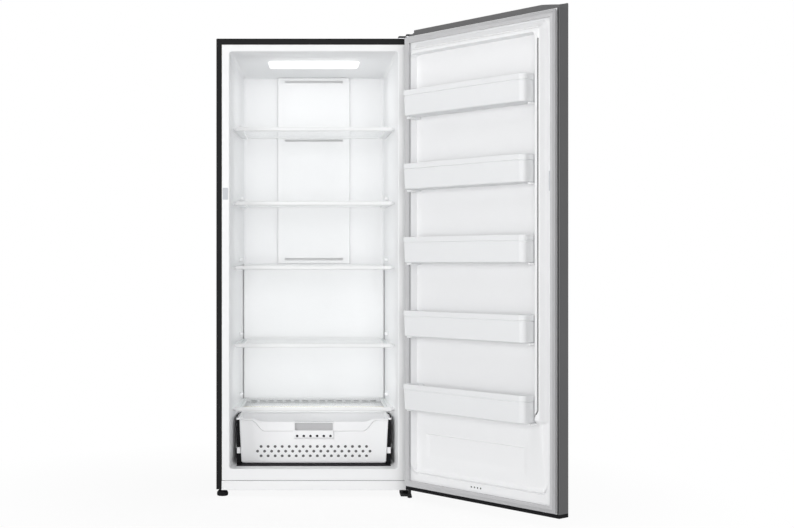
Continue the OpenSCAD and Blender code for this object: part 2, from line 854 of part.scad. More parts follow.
// Screws of both brackets, with round heads
module hinge_screws() {
    color([0.6, 0.6, 0.62]) {
        for (p = screw_spots) translate([p[0], p[1], cab_top]) {
            cylinder(bracket_t, screw_r, screw_r);
            translate([0, 0, bracket_t]) cylinder(screw_head_h, screw_head_r, screw_head_r);
        }
        for (x = low_screws) translate([bracket_x0 + x, 26, cab_z0 - bracket_t]) {
            cylinder(bracket_t, screw_r, screw_r);
            translate([0, 0, -screw_head_h]) cylinder(screw_head_h, screw_head_r, screw_head_r);
        }
    }
}

// Cheeks under the base frame with the rollers' axles
module roller_brackets() {
    w = roller_w / 2 + 2 * seat_clear;
    color([0.5, 0.51, 0.53])
    both_sides() translate([roller_x, roller_y, 0]) {
        span([-w - 2, -12, 8], [-w, 12, cab_z0]);
        span([w, -12, 8], [w + 2, 12, cab_z0]);
        translate([0, 0, roller_d / 2]) rod_x(-w - 1, w + 1, axle_r);
    }
}

module roller() {
    color([0.2, 0.2, 0.2])
    translate([roller_x, roller_y, roller_d / 2])
    difference() {
        rod_x(-roller_w / 2, roller_w / 2, roller_d / 2);
        rod_x(-roller_w, roller_w, axle_r + pin_clear);
    }
}

// Pad with a waisted edge and a threaded stem
module left_foot() {
    r = foot_d / 2;
    color([0.12, 0.12, 0.12])
    translate([foot_x, foot_y, 0]) {
        rotate_extrude() polygon([[0, 0], [r - 4, 0], [r - 1, 3], [r, 8], [r, foot_h - 10],
            [r - 3, foot_h - 4], [r - 8, foot_h], [0, foot_h]]);
        translate([0, 0, foot_h - eps]) cylinder(cab_z0 + 26 - foot_h, stem_r, stem_r);
    }
}

module right_foot() {
    r = knob_d / 2;
    stem = knob_stem_r - pin_clear;
    color([0.1, 0.1, 0.11])
    translate([hinge_x, hinge_y, 0]) {
        rotate_extrude() polygon([[0, 0], [r - 2, 0], [r, 2], [r, knob_h - 2], [r - 2, knob_h], [0, knob_h]]);
        translate([0, 0, knob_h - eps]) cylinder(cab_z0 - bracket_t - 10 - knob_h, stem, stem);
    }
}

// Rails on the side walls that carry the drawer's fins
module drawer_rails() {
    color(white)
    intersection() {
        both_sides() span([base_w / 2 + 6, drawer_y + 6, slide_z - 22], [open_hw, drawer_y + drawer_d - 4, slide_z]);
        tub(0, 0);
    }
}

// Front outline of the drawer, drawn in towards its bottom by t
module drawer_front(t, low, high) {
    polygon([[-base_w / 2 + t, low], [base_w / 2 - t, low], [front_w / 2 - t, high], [-front_w / 2 + t, high]]);
}

// Height of the moulded step across the drawer's front: high at the sides, low in the middle
grip_z0 = drawer_z1 - 56;
grip_z1 = drawer_z1 - 18.5;
peep_z = drawer_z1 - 78.6;
handle_rim = 4.5;
step_hi = drawer_z1 - 11;
step_lo = drawer_z1 - 58;
step_x0 = front_w / 2 - 105;
step_x1 = front_w / 2 - 56;
function step_rise(x) = min(1, max(0, (abs(x) - step_x0) / (step_x1 - step_x0)));
function step_at(x) = step_lo + (step_hi - step_lo) * (1 - cos(180 * step_rise(x))) / 2;
step_xs = [for (i = [-27 : 27]) i * step_x1 / 27];

module drawer_basket() {
    t = drawer_t;
    y1 = drawer_y + drawer_d;
    hx = handle_w / 2;
    grip_x = hx - handle_rim;
    low_r = 12;
    rim_t = 8;
    over = 40;
    ahead = handle_t + eps;
    color([0.96, 0.96, 0.97])
    difference() {
        union() {
            intersection() {
                front(drawer_y, y1) drawer_front(0, drawer_z0, drawer_z1 - 2);
                front(drawer_y, y1) rounded([-front_w / 2, drawer_z0], [front_w / 2, drawer_z1 + over], low_r);
            }
            span([-drawer_w / 2, drawer_y, drawer_z1 - rim_t], [drawer_w / 2, y1, drawer_z1]);
            both_sides() span([base_w / 2 - 4, drawer_y + 8, slide_z + seat_clear],
                              [base_w / 2 + 17, y1 - 4, slide_z + 4]);
            intersection() {
                front(drawer_y - step_t, drawer_y)
                    polygon(concat([[front_w / 2, step_hi], [front_w / 2, drawer_z0],
                    [-front_w / 2, drawer_z0], [-front_w / 2, step_hi]], [for (x = step_xs) [x, step_at(x)]]));
                front(drawer_y - ahead, drawer_y) drawer_front(1, drawer_z0, drawer_z1 - 2);
                front(drawer_y - ahead, drawer_y)
                    rounded([-front_w / 2, drawer_z0], [front_w / 2, drawer_z1 + over], low_r);
            }
            front(drawer_y - handle_t, drawer_y) rounded([-hx, drawer_z1 - 88], [hx, drawer_z1 - 15], 3);
        }
        front(drawer_y + t, y1 - t) drawer_front(t, drawer_z0 + t, drawer_z1 + over);
        span([-drawer_w, drawer_y - ahead, drawer_z1 - 18], [drawer_w, drawer_y + t + eps, drawer_z1 + eps]);
        span([-grip_x, drawer_y - ahead, grip_z0], [grip_x, drawer_y + t + eps, grip_z1]);
        for (i = [-2.5 : 2.5]) translate([i * peep_pitch, 0, peep_z])
            rod_y(drawer_y - ahead, drawer_y + t + eps, peep_d / 2);
        for (row = [-1 : 1], i = [-8 : 8]) if (row == 0 || i < 8)
            translate([(i + (row == 0 ? 0 : 0.5)) * vent_pitch, 0, drawer_z0 + vent_up + row * vent_row])
                rod_y(drawer_y - ahead, drawer_y + t + eps, vent_d / 2);
    }
}

// Grey cup behind the drawer's grip opening
module drawer_handle() {
    hx = handle_w / 2 - handle_rim;
    y = drawer_y + drawer_t;
    deep = 26;
    wall = 3;
    color([0.75, 0.75, 0.76])
    difference() {
        span([-hx - wall, y, grip_z0 - wall], [hx + wall, y + deep, grip_z1]);
        span([-hx, y - eps, grip_z0], [hx, y + deep - wall, grip_z1 - wall]);
    }
}

module shelf_glass(z) {
    color([0.85, 0.93, 0.92])
    span([-glass_w / 2, shelf_y + 5, z + glass_up],
         [glass_w / 2, shelf_y + shelf_d - 3, z + glass_up + glass_t]);
}

// Front and rear mouldings that hold the glass
module shelf_trim(z) {
    bevel = 3;
    color([0.98, 0.98, 0.99])
    difference() {
        union() {
            side([[shelf_y + bevel, z - trim_h / 2], [shelf_y + trim_d, z - trim_h / 2],
                  [shelf_y + trim_d, z + trim_h / 2], [shelf_y + bevel, z + trim_h / 2],
                  [shelf_y, z + trim_h / 2 - bevel], [shelf_y, z - trim_h / 2 + bevel]],
                 -trim_w / 2, trim_w / 2);
            span([-ledge_gap / 2 + 3, shelf_y + shelf_d - 10, z + glass_up - 2],
                 [ledge_gap / 2 - 3, shelf_y + shelf_d, z + glass_up + glass_t + 3]);
        }
        span([-glass_w / 2, shelf_y + 5, z + glass_up],
             [glass_w / 2, shelf_y + shelf_d - 3, z + glass_up + glass_t]);
    }
}

// Turns the closed door and what it carries to where the door stands
module swung() {
    translate([hinge_x, hinge_y, 0]) rotate([0, 0, door_open]) translate([-hinge_x, -hinge_y, 0]) children();
}

// Space over the hinge's arm, cut from the top of the door
module hinge_recess() {
    span([cab_hw - recess_w, door_in - recess_d, recess_z], [cab_hw + eps, door_in + eps, door_z1 + eps]);
}

// Grip pocket in the door's front, grown by t
module grip_block(t) {
    x = -cab_hw + grip_side;
    z = (door_z0 + door_z1) / 2;
    span([x - t, door_out - eps, z - grip_h / 2 - t], [x + grip_w + t, door_out + grip_d + t, z + grip_h / 2 + t]);
}

module door_skin() {
    low = door_z0 + cap_low_h;
    high = door_z1 - cap_top_h;
    color(steel_dark)
    swung() difference() {
        union() {
            span([-cab_hw, door_out, low], [cab_hw, door_out + sheet_t, high]);
            both_sides() {
                span([cab_hw - sheet_t, door_out, low], [cab_hw, door_in, high]);
                span([cab_hw - 3, door_in - sheet_t, low], [cab_hw, door_in, high]);
            }
        }
        grip_block(liner_t);
        panel_block();
        hinge_recess();
    }
}

// Raised rim of the door's liner, inset from its faces by t
module dike(t) {
    x0 = dike_x0;
    x1 = dike_x1;
    z1 = dike_z1;
    top = door_in + dike_h - t;
    base = door_in - door_liner_t - eps * (t > 0 ? 1 : 0);
    span([x0 + t, base, z1 - dike_w + t], [x1 - t, top, z1 - t]);
    span([x1 - dike_hinge_w + t, base, floor_z + 16 + t], [x1 - t, top, z1 - t]);
    span([x0 + t, base, bin_z0 - 22 + t], [x0 + dike_free_w - t, top, z1 - t]);
}

// Rests under a bin's ends
module bin_rests(z) {
    y0 = door_in - door_liner_t / 2;
    y1 = bin_out - 30;
    span([bin_x0 - bin_gap_free - 1, y0, z - rest_h], [bin_x0 + rest_lap, y1, z - seat_clear]);
    span([bin_x1 - rest_lap, y0, z - rest_h], [bin_x1 + bin_gap_hinge + 1, y1, z - seat_clear]);
}

module door_liner() {
    low = door_z0 + cap_low_h;
    high = door_z1 - cap_top_h;
    color(white)
    swung() {
        difference() {
            union() {
                span([-cab_hw + 3, door_in - door_liner_t, low], [cab_hw - 3, door_in, high]);
                dike(0);
            }
            dike(door_liner_t);
        }
        for (i = [0 : 4]) bin_rests(bin_z0 + i * bin_pitch);
        span([-cab_hw + 150, door_in - eps, floor_z + 60], [cab_hw - 130, door_in + plate_h, bin_z0 - 106]);
    }
}

module door_foam() {
    low = door_z0 + cap_low_h;
    high = door_z1 - cap_top_h;
    color([0.93, 0.88, 0.68])
    swung() difference() {
        union() {
            span([-cab_hw + sheet_t, door_out + sheet_t, low], [cab_hw - sheet_t, door_in - door_liner_t, high]);
            difference() {
                dike(door_liner_t);
                span([-cab_hw, door_in - 20, low], [cab_hw, door_in - door_liner_t, high]);
            }
        }
        grip_block(liner_t);
        panel_block();
        hinge_recess();
        bush_block();
    }
}

// Two bushes that turn on the hinge pins
module bush_block() {
    r = pin_d / 2 + 3;
    translate([hinge_x, hinge_y, recess_z - 26]) cylinder(26, r, r);
    translate([hinge_x, hinge_y, door_z0]) cylinder(24, r, r);
}

module hinge_bushes() {
    r = pin_d / 2 + pin_clear;
    color([0.9, 0.9, 0.88])
    swung() difference() {
        bush_block();
        translate([hinge_x, hinge_y, recess_z - 24]) cylinder(30, r, r);
        translate([hinge_x, hinge_y, door_z0 - eps]) cylinder(23, r, r);
    }
}

// Frame of hollow section round the door's inner face
module door_gasket() {
    h = door_gap - 0.8;
    foot = 3;
    lip = 9;
    x1 = cab_hw - gasket_inset;
    z0 = door_z0 + cap_low_h + 1;
    z1 = door_z1 - cap_top_h - 1;
    w = gasket_w;
    color([0.75, 0.75, 0.76])
    swung() difference() {
        union() {
            span([-x1 + foot, door_in, z0 + foot], [x1 - foot, door_in + h - 5, z1 - foot]);
            span([-x1, door_in + h - lip, z0], [x1, door_in + h, z1]);
        }
        span([-x1 + w - 4, door_in - eps, z0 + w - 4], [x1 - w + 4, door_in + h - 5, z1 - w + 4]);
        span([-x1 + w, door_in - eps, z0 + w], [x1 - w, door_in + h + eps, z1 - w]);
    }
}

module door_top_cap() {
    z0 = door_z1 - cap_top_h;
    color(steel_dark)
    swung() difference() {
        span([-cab_hw, door_out, z0], [cab_hw, door_in, door_z1]);
        hinge_recess();
        bush_block();
    }
}

module door_bottom_cap() {
    color([0.1, 0.1, 0.1])
    swung() difference() {
        span([-cab_hw, door_out, door_z0], [cab_hw, door_in, door_z0 + cap_low_h]);
        bush_block();
    }
}

// Cup that lines the grip pocket
module door_grip() {
    color([0.2, 0.2, 0.21])
    swung() difference() {
        intersection() {
            grip_block(liner_t);
            span([-cab_hw, door_out, door_z0], [cab_hw, door_in, door_z1]);
        }
        grip_block(0);
    }
}

// Plain touch panel set into the door's front
module panel_block() {
    half = [panel_w / 2, panel_h / 2];
    front(door_out, door_out + panel_d) translate([0, panel_z]) rounded(-half, half, 6);
}

module control_panel() {
    color([0.05, 0.05, 0.06])
    swung() panel_block();
}

// Plan of a bin with round front corners, drawn in by t, as far back as a depth
module bin_plan(t, y0) {
    r = bin_r - t;
    x0 = bin_x0 + t;
    x1 = bin_x1 - t;
    y1 = bin_out - t;
    translate([x0, y0]) square([x1 - x0, y1 - r - y0]);
    translate([x0 + r, y0]) square([x1 - x0 - 2 * r, y1 - y0]);
    for (x = [x0 + r, x1 - r]) translate([x, y1 - r]) circle(r);
}

module door_bin(i) {
    z = bin_z0 + (5 - i) * bin_pitch;
    color([0.9, 0.92, 0.93])
    swung() translate([0, 0, z]) difference() {
        union() {
            linear_extrude(bin_band) bin_plan(0, bin_in);
            linear_extrude(bin_h) bin_plan(bin_step, bin_in);
        }
        translate([0, 0, bin_t]) linear_extrude(bin_band - 2 * bin_t) bin_plan(bin_t, bin_in + bin_t);
        translate([0, 0, bin_t]) linear_extrude(bin_h) bin_plan(bin_step + bin_t, bin_in + bin_t);
        span([bin_x0 + bin_r, bin_in - eps, bin_band - 10], [bin_x1 - bin_r, bin_in + 2 * bin_t, bin_h + eps]);
    }
}

cabinet_shell();
back_panel();
cabinet_floor();
foam_insulation();
inner_liner();
kick_panel();
base_frame();
air_duct_cover();
evaporator_cover();
evaporator_coil();
evaporator_fan_motor();
evaporator_fan();
light_lens();
led_board();
door_sensor();
compressor();
compressor_mounts();
condenser_coil();
condenser_fan_motor();
condenser_fan();
drip_tray();
control_board();
machine_cover();
power_inlet();
top_hinge_bracket();
top_hinge_cover();
bottom_hinge_bracket();
hinge_screws();
roller_brackets();
mirror([1, 0, 0]) roller();  // left_roller
roller();  // right_roller
left_foot();
right_foot();
drawer_rails();
drawer_basket();
drawer_handle();
for (i = [1 : 5]) {
    shelf_glass(shelf_zs[i - 1]);
    shelf_trim(shelf_zs[i - 1]);
    door_bin(i);
}
door_skin();
door_foam();
door_liner();
door_gasket();
door_top_cap();
door_bottom_cap();
hinge_bushes();
door_grip();
control_panel();
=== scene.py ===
import json
import math

import bmesh
import bpy
import numpy as np
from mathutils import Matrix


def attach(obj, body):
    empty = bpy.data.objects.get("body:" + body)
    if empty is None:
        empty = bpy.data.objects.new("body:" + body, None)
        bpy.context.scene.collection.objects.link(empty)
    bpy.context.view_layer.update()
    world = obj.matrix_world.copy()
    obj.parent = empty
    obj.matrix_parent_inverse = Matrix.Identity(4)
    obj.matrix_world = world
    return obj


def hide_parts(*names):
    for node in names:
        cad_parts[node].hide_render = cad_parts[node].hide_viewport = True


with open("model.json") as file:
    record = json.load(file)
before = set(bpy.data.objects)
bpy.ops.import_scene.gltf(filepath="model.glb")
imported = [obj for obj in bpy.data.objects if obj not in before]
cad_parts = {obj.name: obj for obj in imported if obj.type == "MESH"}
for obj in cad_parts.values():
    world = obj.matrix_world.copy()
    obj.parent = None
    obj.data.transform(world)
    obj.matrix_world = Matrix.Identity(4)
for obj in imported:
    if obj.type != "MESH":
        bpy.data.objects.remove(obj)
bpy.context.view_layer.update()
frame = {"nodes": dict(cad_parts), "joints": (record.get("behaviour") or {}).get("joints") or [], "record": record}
print("frame:", len(frame["nodes"]), "nodes")

# Shapes are worked out in millimetres, in the part's own axes, and made into meshes in metres
perMetre = 1000
hinge = next(joint for joint in frame["joints"] if joint["name"] == "door_hinge")
hingeSpot = np.array(hinge["pos_m"][:2]) * perMetre
openTurn = math.radians(-hinge["range_deg"][0])


def turned(points, angle):
    # Points turned about the hinge line: x cos - y sin, x sin + y cos
    arm = points[:, :2] - hingeSpot
    c, s = math.cos(angle), math.sin(angle)
    return np.column_stack([arm @ np.array([[c, s], [-s, c]]) + hingeSpot, points[:, 2]])


def pointsOf(mesh):
    points = np.empty(len(mesh.vertices) * 3)
    mesh.vertices.foreach_get("co", points)
    return points.reshape(-1, 3)


def reach(node, shut=False):
    # Lowest and highest corner of a CAD node; shut gives those of a door piece with the door closed
    points = pointsOf(frame["nodes"][node].data) * perMetre
    if shut:
        points = turned(points, -openTurn)
    return points.min(0), points.max(0)


def addObject(name, data):
    made = bpy.data.objects.new(name, data)
    bpy.context.scene.collection.objects.link(made)
    return made


# Camera, level and straight along the depth, framed as the photograph is
view = {"width": 794, "focal": 1295, "centreX": 313.8, "centreY": 264.3, "middleY": 264,
        "eye": (0, -5.512, 0.988), "sensor": 36}


def addCamera():
    lens = bpy.data.cameras.new("camera")
    lens.sensor_width = view["sensor"]
    lens.lens = view["sensor"] * view["focal"] / view["width"]
    lens.shift_x = (view["width"] / 2 - view["centreX"]) / view["width"]
    lens.shift_y = (view["centreY"] - view["middleY"]) / view["width"]
    lens.clip_end = 100
    camera = addObject("camera", lens)
    camera.location = view["eye"]
    camera.rotation_euler = (math.pi / 2, 0, 0)
    bpy.context.scene.camera = camera


addCamera()
bpy.context.scene.view_settings.view_transform = "Standard"


class Sock:
    # One value in a node tree; arithmetic on it adds Math nodes

    def __init__(self, tree, socket):
        self.tree, self.socket = tree, socket

    def math(self, operation, *others):
        values = dict(enumerate((self, *others)))
        return self.tree.node("Math", {"operation": operation}, values)

    def __add__(self, other):
        return self.math("ADD", other)

    def __mul__(self, other):
        return self.math("MULTIPLY", other)

    def __sub__(self, other):
        return self.math("SUBTRACT", other)

    def __rsub__(self, other):
        return self.tree.node("Math", {"operation": "SUBTRACT"}, {0: other, 1: self})

    def __truediv__(self, other):
        return self.math("DIVIDE", other)

    __radd__ = __add__
    __rmul__ = __mul__


class Tree:
    # A node tree that is built by calls; node() adds any shader node and gives the output that is asked for

    def __init__(self, owner):
        owner.use_nodes = True
        self.tree = owner.node_tree
        self.tree.nodes.clear()

    def node(self, kind, settings=None, sockets=None, out=0):
        made = self.tree.nodes.new("ShaderNode" + kind)
        for name, value in (settings or {}).items():
            if name == "stops":
                self.ramp(made.color_ramp, value)
            else:
                setattr(made, name, value)
        for name, value in (sockets or {}).items():
            if isinstance(value, Sock):
                self.tree.links.new(value.socket, made.inputs[name])
            else:
                made.inputs[name].default_value = value
        return Sock(self, made.outputs[out]) if made.outputs else made

    def ramp(self, ramp, stops):
        while len(ramp.elements) < len(stops):
            ramp.elements.new(1)
        for element, (place, colour) in zip(ramp.elements, stops):
            element.position, element.color = place, colour

    def spot(self):
        return self.node("TexCoord", out="Object")

    def noise(self, scale, detail=2, stretch=None, rough=0.5):
        spot = self.spot()
        if stretch:
            spot = self.node("Mapping", None, {"Vector": spot, "Scale": stretch})
        return self.node("TexNoise", None,
                         {"Vector": spot, "Scale": scale, "Detail": detail, "Roughness": rough}, "Fac")

    def blend(self, factor, first, second):
        return self.node("Mix", {"data_type": "RGBA"},
                         {0: factor, 6: (*first, 1) if isinstance(first, tuple) else first,
                          7: (*second, 1) if isinstance(second, tuple) else second}, 2)


def shade(colour, share):
    return tuple(min(1, c * share) for c in colour)


finishes = {}


def finish(slot, colour, rough, metal=0, coat=0, spread=0.03, patch=3, grain=130, bump=0.03, depth=0.0001,
           roughSpread=0.03, brush=None, extra=None):
    # Colour varies by a wide and a fine noise, roughness by a middling one, and the bump is the fine grain
    first, *others = slot.split("_")
    material = bpy.data.materials.new(first + "".join(word.capitalize() for word in others))
    tree = Tree(material)
    wide = tree.noise(patch, 3)
    fine = tree.noise(grain, 2, brush)
    tone = tree.blend(wide * 0.65 + fine * 0.35, shade(colour, 1 - spread), shade(colour, 1 + spread))
    dull = tree.noise(16, 2, brush) * roughSpread + (rough - roughSpread / 2)
    relief = tree.node("Bump", None, {"Strength": bump, "Distance": depth, "Height": fine})
    sockets = {"Base Color": tone, "Roughness": dull, "Metallic": metal, "Normal": relief}
    if coat:
        sockets["Coat Weight"] = coat
        sockets["Coat Roughness"] = 0.12
    for key, value in (extra or {}).items():
        sockets[key] = value(tree) if callable(value) else value
    surface = tree.node("BsdfPrincipled", None, sockets)
    tree.node("OutputMaterial", None, {"Surface": surface})
    finishes[slot] = material


# Brushed steel has streaks that run up and down
streaks = (1, 1, 0.012)
# The glass is greener and denser at its long edges, from this distance off the middle on
glass = {"edge": 0.3205, "clear": (0.80, 0.86, 0.85), "green": (0.33, 0.58, 0.50), "alpha": 0.11, "edgeAlpha": 0.4}


def glassEdge(tree):
    across = tree.node("SeparateXYZ", None, {"Vector": tree.spot()}).math("ABSOLUTE")
    return across.math("GREATER_THAN", glass["edge"])


def glassColour(tree):
    return tree.blend(glassEdge(tree), glass["clear"], glass["green"])


def glassAlpha(tree):
    return glassEdge(tree) * glass["edgeAlpha"] + tree.noise(2.5, 2) * 0.04 + glass["alpha"]


def gasketColourAndShade(tree):
    # The bellows along the free side are painted greyer than the strip that seals, as painted shade
    share = tree.node("Attribute", {"attribute_name": "bellows"}, out="Fac")
    tone = tree.blend(tree.noise(9, 3), (0.53, 0.53, 0.54), (0.57, 0.57, 0.58))
    return tree.blend(share, tone, (0.44, 0.44, 0.45))


finish("cabinet_paint", (0.006, 0.006, 0.0066), 0.5, spread=0.08, grain=420, bump=0.18,
       extra={"Specular IOR Level": 0.14})
finish("galvanised", (0.48, 0.49, 0.51), 0.42, metal=0.85, spread=0.16, patch=28, grain=90, bump=0.05,
       roughSpread=0.2)
finish("foam", (0.80, 0.70, 0.40), 0.95, spread=0.10, patch=12, grain=260, bump=0.6, depth=0.0006)
finish("liner_plastic", (0.89, 0.894, 0.902), 0.36, spread=0.008)
finish("cover_plastic", (0.915, 0.919, 0.925), 0.40, spread=0.008)
finish("frame_paint", (0.10, 0.10, 0.108), 0.5, spread=0.08, grain=300, bump=0.3)
finish("coil_aluminium", (0.66, 0.67, 0.68), 0.34, metal=1, spread=0.06, patch=40, grain=200, bump=0.15,
       roughSpread=0.15)
finish("dark_plastic", (0.008, 0.008, 0.009), 0.6, spread=0.10, grain=500, bump=0.3,
       extra={"Specular IOR Level": 0.08})
finish("lens_plastic", (0.93, 0.93, 0.92), 0.30, spread=0.004,
       extra={"Emission Color": (1, 1, 0.985, 1), "Emission Strength": 0.75})
finish("circuit_board", (0.03, 0.17, 0.07), 0.42, spread=0.25, patch=70, grain=240, bump=0.4, depth=0.0003)
finish("sensor_plastic", (0.56, 0.58, 0.61), 0.45)
finish("compressor_paint", (0.014, 0.014, 0.016), 0.28, spread=0.10, grain=180, bump=0.3, coat=0.3)
finish("mount_rubber", (0.018, 0.018, 0.018), 0.85, spread=0.20, grain=400, bump=0.5)
finish("fan_plastic", (0.62, 0.63, 0.66), 0.42, grain=500, bump=0.15)
finish("zinc_steel", (0.52, 0.52, 0.54), 0.32, metal=1, spread=0.12, patch=60, grain=260, bump=0.15,
       roughSpread=0.18)
finish("hinge_paint", (0.009, 0.009, 0.010), 0.45, spread=0.08, grain=380, bump=0.25,
       extra={"Specular IOR Level": 0.2})
finish("shelf_glass", (0.8, 0.86, 0.85), 0.06, grain=30, bump=0.02,
       extra={"Base Color": glassColour, "Alpha": glassAlpha})
finish("shelf_trim", (0.84, 0.845, 0.85), 0.30, spread=0.008)
finish("drawer_plastic", (0.90, 0.903, 0.912), 0.34, spread=0.010)
finish("handle_grey", (0.49, 0.49, 0.50), 0.42)
finish("door_paint", (0.106, 0.106, 0.109), 0.36, metal=0.55, spread=0.10, patch=4, grain=900, bump=0.10,
       roughSpread=0.10, brush=streaks)
finish("cap_grey", (0.108, 0.108, 0.110), 0.5, spread=0.05)
finish("door_liner_plastic", (0.90, 0.904, 0.912), 0.34, spread=0.008)
# The gasket's colour holds painted shade along the free side's bellows
finish("gasket_vinyl", (0.53, 0.53, 0.54), 0.62, patch=9, grain=120, extra={"Base Color": gasketColourAndShade})
finish("bush_plastic", (0.80, 0.79, 0.75), 0.45)
finish("panel_glass", (0.012, 0.012, 0.014), 0.10, spread=0.05, grain=60, bump=0.01, coat=0.5)
finish("bin_plastic", (0.815, 0.824, 0.835), 0.5, spread=0.012)
print("finishes:", len(finishes))


def gridFaces(rows, cols, closeRows=False, closeCols=False):
    # Four-sided faces between the neighbours of a grid of points that is numbered row by row
    i = np.arange(rows if closeRows else rows - 1)[:, None]
    j = np.arange(cols if closeCols else cols - 1)[None, :]
    nextI, nextJ = (i + 1) % rows, (j + 1) % cols
    corners = np.broadcast_arrays(i * cols + j, i * cols + nextJ, nextI * cols + nextJ, nextI * cols + j)
    return np.stack(corners, -1).reshape(-1, 4)


def leftOf(way):
    return np.stack([-way[:, 1], way[:, 0]], -1)


def outline(corners, radius, inset=0.0, steps=6):
    # Closed line, counterclockwise. Each corner is drawn in along the normals of both its edges by the inset,
    # then turned by an arc that starts radius * tan(turn / 2) before it
    corners = np.array(corners, float)
    ahead = np.roll(corners, -1, 0) - corners
    ahead /= np.linalg.norm(ahead, axis=1, keepdims=True)
    behind = np.roll(ahead, 1, 0)
    cross = behind[:, 0] * ahead[:, 1] - behind[:, 1] * ahead[:, 0]
    dot = (behind * ahead).sum(1)
    turn = np.arctan2(cross, dot)
    spot = corners + inset * (leftOf(behind) + leftOf(ahead)) / (1 + dot)[:, None]
    bend = np.maximum(np.broadcast_to(radius, turn.shape) - np.sign(cross) * inset, 0.02)
    start = spot - behind * (bend * np.tan(np.abs(turn) / 2))[:, None]
    centre = start + leftOf(behind) * (bend * np.where(cross < 0, -1, 1))[:, None]
    angle = turn[:, None] * np.linspace(0, 1, steps + 1)
    arm = start - centre
    x = centre[:, :1] + arm[:, :1] * np.cos(angle) - arm[:, 1:] * np.sin(angle)
    y = centre[:, 1:] + arm[:, :1] * np.sin(angle) + arm[:, 1:] * np.cos(angle)
    return np.stack([x, y], -1).reshape(-1, 2)


def pointed(x, y, z):
    return np.stack(np.broadcast_arrays(x, y, z), -1)


def placed(flat, along, axis):
    # Points of a plane put in space, at a place along the third axis
    first, second = flat[..., 0], flat[..., 1]
    order = {"x": (along, first, second), "y": (first, along, second), "z": (first, second, along)}
    return pointed(*order[axis])


def loft(corners, radius, levels, axis="z", steps=6):
    # One outline for each level, which is its inset and its place along the axis
    return np.stack([placed(outline(corners, radius, inset, steps), along, axis) for inset, along in levels])


def quarter(r, count):
    # Points of a quarter circle: their first measure falls from r to 0, their second rises from 0 to r
    a = np.linspace(0, math.pi / 2, count)
    return list(zip(r * (1 - np.sin(a)), r * (1 - np.cos(a))))


def quarterEdges(low, high, edge=0.6, steps=3):
    # Levels of a plate from face to face, its edges drawn in by quarter circles
    arc = quarter(edge, steps + 1)
    return [(inset, low + rise) for inset, rise in arc] + [(inset, high - rise) for inset, rise in arc[::-1]]


def rectangle(x0, y0, x1, y1):
    return [(x0, y0), (x1, y0), (x1, y1), (x0, y1)]


def lines(*stretches):
    # Places of grid lines, from stretches of (start, end, greatest step)
    runs = [np.linspace(a, b, max(2, math.ceil(abs(b - a) / step) + 1)) for a, b, step in stretches]
    return np.unique(np.concatenate(runs).round(4))


def ease(value, low, high):
    # Smooth step from 0 at low to 1 at high: t t (3 - 2 t)
    t = np.clip((value - low) / (high - low), 0, 1)
    return t * t * (3 - 2 * t)


def window(value, low, full, last, high):
    # Rises from low to full and sinks again from last to high
    return ease(value, low, full) * ease(-value, -high, -last)


def ridge(value, middle, wide, power=2):
    # 1 on the middle line, sinking at both sides of it
    return np.exp(-((value - middle) / wide) ** power)


def edgeDistance(points, hole):
    # Distance to a rectangle with round corners, given as middle, half sizes and radius; negative inside
    q = np.abs(points - np.array(hole[:2])) - (np.array(hole[2:4]) - hole[4])
    return np.hypot(*np.maximum(q, 0).T) + np.minimum(q.max(1), 0) - hole[4]


def pierced(us, vs, holes):
    # A grid without the faces whose middle lies in a hole; points round a gap move out onto the hole's edge,
    # along the slope of the distance, by the distance
    flat = np.stack(np.meshgrid(us, vs), -1).reshape(-1, 2)
    faces = gridFaces(len(vs), len(us))
    middle = flat[faces].mean(1)
    gone = np.zeros(len(faces), bool)
    nudge = 0.01
    for hole in holes:
        inside = edgeDistance(middle, hole) < 0
        rim = np.intersect1d(faces[inside], faces[~inside])
        for _ in range(2):
            spot = flat[rim]
            slope = np.stack([edgeDistance(spot + step, hole) - edgeDistance(spot - step, hole)
                              for step in np.eye(2) * nudge], -1) / (2 * nudge)
            flat[rim] = spot - slope * edgeDistance(spot, hole)[:, None]
        gone |= inside
    return flat, faces[~gone]


